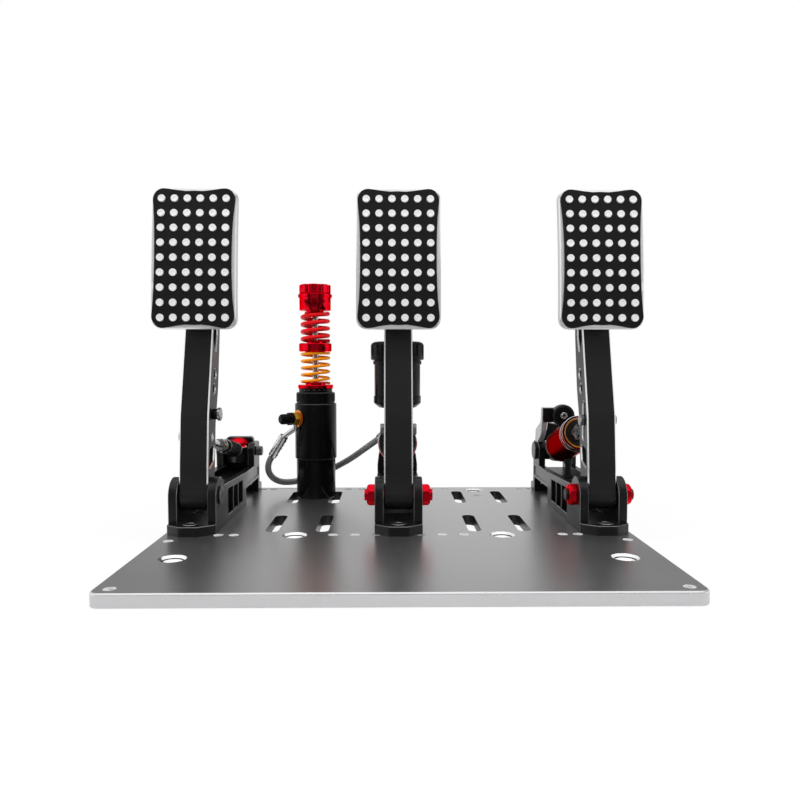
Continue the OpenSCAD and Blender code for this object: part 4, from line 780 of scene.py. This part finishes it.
def coilLine(spring):
    line = []
    steps = round(spring["turns"] * winding["steps"])
    closed = spring["closed"]  # share of a turn that lies flat at each end
    active = spring["turns"] - 2 * closed
    endRise = spring["wire"] * winding["endRise"]
    for i in range(steps + 1):
        t = spring["turns"] * i / steps
        rise = min(max((t - closed) / active, 0), 1)
        flat = endRise * (min(t, closed) + max(t - spring["turns"] + closed, 0)) / closed
        z = spring["low"] + (spring["high"] - spring["low"] - 2 * endRise) * rise + flat
        around = Vector((math.cos(2 * math.pi * t), math.sin(2 * math.pi * t), 0)) * spring["radius"]
        line.append(spring["place"] @ ((around + Vector((0, 0, z))) * mm))
    return line


for node, spring in springs.items():
    place = spring["place"]
    mesh, _ = sweepMesh(node + "Wound", coilLine(spring), spring["wire"] / 2 * mm, winding["sides"])
    piece = newPiece(node + "Wound", mesh, spring["body"], spring["finish"])
    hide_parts(node)
    foot = place @ Vector((0, 0, (spring["low"] - spring["wire"] / 2) * mm))
    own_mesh(piece)
print("springs wound:", len(springs))


# small turned and repeated pieces
def axisPlace(origin, axis):
    turn = Vector(axis).to_track_quat("Z", "Y").to_matrix().to_4x4()
    return Matrix.Translation(Vector(origin) * mm) @ turn


# ridge along +Z whose foot is sunk a little below the circle it stands on
def ridgeMesh(name, width, proud, length, foot=0.3):
    half = width / 2
    outline = [(-foot, -half), (0, -half), (proud, -half / 2), (proud, half / 2), (0, half), (-foot, half)]
    return prismMesh(name, [(x, y, 0) for x, y in outline], [(x, y, length) for x, y in outline])


ringTree = makeRingTree()
ridged = {
    "lockRingKnurl": dict(radius=20.6, count=110, ridge=(0.6, 0.2, 8.4), place=axisPlace((-88, 137, 113.2), upAxis),
                          body="base", finish="blackTurned", slot="black_metal"),
    # barely raised dashes round the slave's sleeve, coloured lighter as painted highlights on its thread
    "sleeveMarks": dict(radius=18.0, count=20, ridge=(1.8, 0.06, 1.0), place=axisPlace((-88, 137, 125.4), upAxis),
                        body="slave_ram", finish="glintGrey", slot="steel"),
    "dialKnurl": dict(radius=11.5, count=44, ridge=(0.9, 0.25, 8.6), place=axisPlace((176, 113.2, 98.8), rearAxis),
                      body="dial", finish="mouldedBlack", slot="black_plastic"),
    "clutchKnobKnurl": dict(radius=5.0, count=24, ridge=(0.7, 0.25, 5.4),
                            place=axisPlace((-154.7, rearPin["y"], rearPin["z"]), sideAxis),
                            body="base", finish="greyAnodised", slot="black_metal"),
    "throttleKnobKnurl": dict(radius=9.5, count=40, ridge=(0.8, 0.25, 2.4),
                              place=axisPlace((154.7, rearPin["y"], rearPin["z"]), (-1, 0, 0)),
                              body="base", finish="darkSteel", slot="black_metal"),
    "throttleNutCrown": dict(radius=6.6, count=6, ridge=(3.2, 1.4, 2.6, 1.2),
                             place=linkPlace("throttle") @ Matrix.Translation((0, 0, 108.9 * mm)),
                             body="throttle_push_rod", finish="chromed", slot="steel"),
}
for name, ring in ridged.items():
    ridge = bpy.data.objects.new(name + "Ridge", ridgeMesh(name + "Ridge", *ring["ridge"]))
    values = {"Item": ridge, "Finish": look[ring["finish"]], "Count": ring["count"], "Radius": ring["radius"] * mm}
    piece = grown(name, ringTree, values, ring["body"], ring["finish"], ring["place"])
    bpy.data.objects.remove(ridge)
print("ridged pieces:", len(ridged))

ferrules = {
    "slaveFerrule": dict(tip=(-134.3, 131, 54.4), toward=(-3.7, 2, -5.9), length=27.0, marks=(4.0, 8.5, 13.0, 22.5)),
    "masterFerrule": dict(tip=(-19, 126, 73.8), toward=(-8.5, 6.5, -6.8), length=12.0, marks=(3.5, 8.5)),
}
# places on the slave's round skin: height, reach from its axis, turn from the left towards the front
slaveSpots = {"port": (95.5, 22.35, 40), "screw": (231.6, 16.75, 45)}


def slavePlace(spot):
    height, reach, turn = slaveSpots[spot]
    out = Vector((-math.cos(math.radians(turn)), -math.sin(math.radians(turn)), 0))
    return axisPlace(Vector((-88, 137, height)) + reach * out, out)


dialFace = axisPlace((176, 112, 98.8), rearAxis)


def band(inner, outer, low, high, ease):
    return [(inner, low), (outer - ease, low), (outer, low + ease), (outer, high - ease), (outer - ease, high),
            (inner, high), (inner, low)]


# round cap on the clutch guide's hexagon, a little shorter fore and aft than across
capShape = {"at": (-176, 153.2, 62.2), "radius": 11.65, "wall": 1.3, "height": 9.6, "shorter": 0.91, "steps": 8}
capProfile = [(0, 0), (capShape["radius"], 0)]
capCrown = capShape["height"] - capShape["wall"]
for k in range(capShape["steps"] + 1):
    a = math.pi / 2 * k / capShape["steps"]
    capProfile.append((capShape["radius"] * math.cos(a), capShape["wall"] + capCrown * math.sin(a)))
capPlace = Matrix.Translation(Vector(capShape["at"]) * mm) @ Matrix.Diagonal((1, capShape["shorter"], 1, 1))

# name: profile of (radius, height), place, body, finish, slot
turned = {
    "clutchDome": (capProfile, capPlace, "clutch_guide", "redNut", "red_metal"),
    "cupGuideRing": (band(13.75, 14.2, 102.4, 104.4, 0.12), linkPlace("throttle"),
                     "throttle_guide", "yellowCoat", "yellow_spring"),
    "cupLineRing": (band(16.9, 17.12, 99.4, 100.2, 0.08), linkPlace("throttle"),
                    "throttle_guide", "brightCut", "silver_metal"),
    "dialRing": (band(9.4, 9.75, -0.2, 0.2, 0.08), dialFace, "dial", "softEdge", "black_plastic"),
    "dialWasher": (band(1.5, 3.5, -0.45, 0.25, 0.15), dialFace, "dial", "studFace", "silver_metal"),
    "portEye": (band(4.1, 8.7, 0.04, 0.22, 0.05), slavePlace("port"), "base", "chromed", "silver_metal"),
    "portWasher": (band(4.1, 9.0, 0.23, 0.46, 0.06), slavePlace("port"), "base", "copperWasher", "bronze"),
    "knobSetScrew": ([(0, -0.6), (1.6, -0.6), (1.6, 0.02), (1.25, 0.1), (1.05, -0.4), (0, -0.45)],
                     slavePlace("screw"), "preload_knob", "darkSteel", "steel"),
    "cupStopPost": ([(0, 0), (5.2, 0), (5.2, 2.6), (4.7, 3.1), (3.2, 3.1), (3.2, 14.5), (4.0, 15), (4.2, 18),
                     (3.4, 19.6), (0, 20)],
                    axisPlace((176, 91.5, 36.02), upAxis), "base", "rubberTip", "black_plastic"),
}
for name, ferrule in ferrules.items():
    toward = Vector(ferrule["toward"]).normalized()
    place = axisPlace(Vector(ferrule["tip"]) - ferrule["length"] * toward, toward)
    for k, mark in enumerate(ferrule["marks"]):
        profile = band(4.6, 5.02, mark, mark + 1.7, 0.25)
        turned["%sBand%d" % (name, k + 1)] = (profile, place, "base", "chromed", "grey_metal")
# thin dark ring painted just under each countersink's rim: painted shade along its upper edge
sinkShadeRing = [(8.6, 7.6), (7.9, 6.9), (7.86, 6.94), (8.56, 7.64), (8.6, 7.6)]
sinkLift = 0.02
for k, (x, y) in enumerate((side * x, y) for x, y in plateShape["sinks"] for side in (-1, 1)):
    place = Matrix.Translation((x * mm, y * mm, sinkLift * mm))
    turned["sinkLine%d" % (k + 1)] = (sinkShadeRing, place, "base", "slotWall", "plate_grey")
turnedSegments = 40
for name, (profile, place, body, finish, slot) in turned.items():
    mesh = turnedMesh(name, profile, turnedSegments, place)
    newPiece(name, mesh, body, finish)
print("turned pieces:", len(turned))

# web that closes the clutch fork's arch and the gap under its deck
rearWeb = {"x": -176.0, "half": 14.3, "low": 33.0, "spring": 57.5, "front": 166.5, "back": 168.6, "steps": 16}
archLine = [(rearWeb["x"] + side * rearWeb["half"], rearWeb["low"]) for side in (-1, 1)]
for k in range(rearWeb["steps"] + 1):
    a = math.pi * k / rearWeb["steps"]
    archLine.append((rearWeb["x"] + rearWeb["half"] * math.cos(a), rearWeb["spring"] + rearWeb["half"] * math.sin(a)))
webMesh = prismMesh("clutchRearWeb", *([(x, rearWeb[side], z) for x, z in archLine] for side in ("front", "back")))
newPiece("clutchRearWeb", smoothed(webMesh), "base", "blackAnodised")
print("web closed")


# floor, backdrop light and lamps: levels of light, and the stretches over which one level turns into the next
studio = {"floorSize": 8.0, "floorDrop": 0.6 * mm, "floorGrey": (0.9, 0.9, 0.9, 1), "plateHalf": {"X": 0.2, "Y": 0.19},
          "shadowFade": (0.03, 0.35), "shadowGlow": 0.9, "floorFade": (-0.32, 0.05),
          "floorFront": 0.10, "floorRear": 0.95,
          "fill": 0.45, "leftFade": (-0.86, -0.66), "rightFade": (0.80, 0.92), "topFade": (0.52, 0.88), "front": 0.24,
          "rearFade": (-0.1, 0.3), "rearRise": (0.17, 0.34), "rearLow": 1.0, "rearHigh": 0.40,
          "rearSpread": (0.17, 0.34), "rearSides": 0.35}
# strips that metal mirrors from in front: sideways place, half width, level
strips = ((-0.56, 0.07, 0.06), (-0.19, 0.09, 0.7), (0.31, 0.09, 0.05), (0.60, 0.06, 0.7), (0.77, 0.04, 0.1))
floorMesh = bpy.data.meshes.new("paleFloor")
s, drop = studio["floorSize"] / 2, -studio["floorDrop"]
floorMesh.from_pydata([(-s, -s, drop), (s, -s, drop), (s, s, drop), (-s, s, drop)], [], [(0, 1, 2, 3)])
floor = bpy.data.objects.new("paleFloor", floorMesh)
scene.collection.objects.link(floor)


def rampNode(tree, value, fade, start, stop):
    return addNode(tree, "ShaderNodeMapRange", {
        "Value": value, "From Min": fade[0], "From Max": fade[1], "To Min": start, "To Max": stop},
        interpolation_type="SMOOTHSTEP").outputs[0]


def pick(tree, share, without, chosen):
    return addNode(tree, "ShaderNodeMix", {0: share, 2: without, 3: chosen}).outputs[0]


# the rays that see the scene, as a share, and those that metal mirrors
def rayNodes(tree):
    path = addNode(tree, "ShaderNodeLightPath").outputs
    return mathNode(tree, "MAXIMUM", path["Is Camera Ray"], path["Is Transmission Ray"]), path["Is Glossy Ray"]


# floor: white to the camera, with a soft shadow near the plate, and dimmer in front where metal mirrors it
floorMaterial = bpy.data.materials.new("paleFloor")
floorMaterial.use_nodes = True
tree = floorMaterial.node_tree
tree.nodes.clear()
seen, mirror = rayNodes(tree)
place = splitNode(tree, coordsNode(tree, "Object"))
squares = []
for label, half in studio["plateHalf"].items():
    gap = mathNode(tree, "MAXIMUM", mathNode(tree, "SUBTRACT", mathNode(tree, "ABSOLUTE", place[label]), half), 0.0)
    squares.append(mathNode(tree, "MULTIPLY", gap, gap))
away = mathNode(tree, "SQRT", mathNode(tree, "ADD", *squares))
seenShare = mathNode(tree, "MULTIPLY", seen, rampNode(tree, away, studio["shadowFade"], studio["shadowGlow"], 1.0))
glowShare = mathNode(tree, "MAXIMUM", seenShare, mirror)
mirrored = rampNode(tree, place["Y"], studio["floorFade"], studio["floorFront"], studio["floorRear"])
plain = addNode(tree, "ShaderNodeBsdfDiffuse", {"Color": studio["floorGrey"]})
glow = addNode(tree, "ShaderNodeEmission", {"Strength": pick(tree, mirror, 1.0, mirrored)})
mixed = addNode(tree, "ShaderNodeMixShader", {0: glowShare, 1: plain.outputs[0], 2: glow.outputs[0]})
addNode(tree, "ShaderNodeOutputMaterial", {0: mixed.outputs[0]})
layOut(tree)
floorMesh.materials.append(floorMaterial)

# world: white backdrop, even fill, and for reflections bright sides and top with a dim room in front
world = bpy.data.worlds.new("studioWorld")
scene.world = world
world.use_nodes = True
tree = world.node_tree
seen, mirror = rayNodes(tree)
way = splitNode(tree, coordsNode(tree, "Generated"))
leftSide = rampNode(tree, way["X"], studio["leftFade"], 1.0, 0.0)
rightSide = rampNode(tree, way["X"], studio["rightFade"], 0.0, 1.0)
above = rampNode(tree, way["Z"], studio["topFade"], 0.0, 1.0)
behind = mathNode(tree, "MULTIPLY", rampNode(tree, way["Y"], studio["rearFade"], 0.0, 1.0),
                  rampNode(tree, way["Z"], studio["rearRise"], studio["rearLow"], studio["rearHigh"]))
aside = mathNode(tree, "ABSOLUTE", way["X"])
pattern = mathNode(tree, "MULTIPLY", behind, rampNode(tree, aside, studio["rearSpread"], 1.0, studio["rearSides"]))
front = studio["front"]
for strip, half, level in strips:
    off = mathNode(tree, "ABSOLUTE", mathNode(tree, "SUBTRACT", way["X"], strip))
    kind = "MAXIMUM" if level > studio["front"] else "MINIMUM"
    front = mathNode(tree, kind, rampNode(tree, off, (half * 0.5, half * 1.5), level, studio["front"]), front)
for part in (leftSide, rightSide, above, front):
    pattern = mathNode(tree, "MAXIMUM", pattern, part)
lit = pick(tree, mirror, studio["fill"], pattern)
wire(tree, tree.nodes["Background"], {"Color": (1, 1, 1, 1), "Strength": pick(tree, seen, lit, 1.0)})
layOut(tree)

lamps = {
    "overheadBox": dict(place=(0.0, -0.2, 1.5), aim=(0, 0.05, 0.1), size=(1.4, 1.0), watts=14),
    "leftBox": dict(place=(-1.3, -0.6, 0.8), aim=(0, 0.0, 0.15), size=(0.5, 1.2), watts=9),
    "rightBox": dict(place=(1.3, -0.6, 0.8), aim=(0, 0.0, 0.15), size=(0.5, 1.2), watts=9),
}
for name, lamp in lamps.items():
    data = bpy.data.lights.new(name, "AREA")
    data.shape = "RECTANGLE"
    data.size, data.size_y = lamp["size"]
    data.energy = lamp["watts"]
    lampObject = bpy.data.objects.new(name, data)
    lampObject.location = lamp["place"]
    lampObject.rotation_euler = (Vector(lamp["aim"]) - Vector(lamp["place"])).to_track_quat("-Z", "Y").to_euler()
    lampObject.visible_glossy = False  # the world's pattern is what metal mirrors
    scene.collection.objects.link(lampObject)
print("studio set")
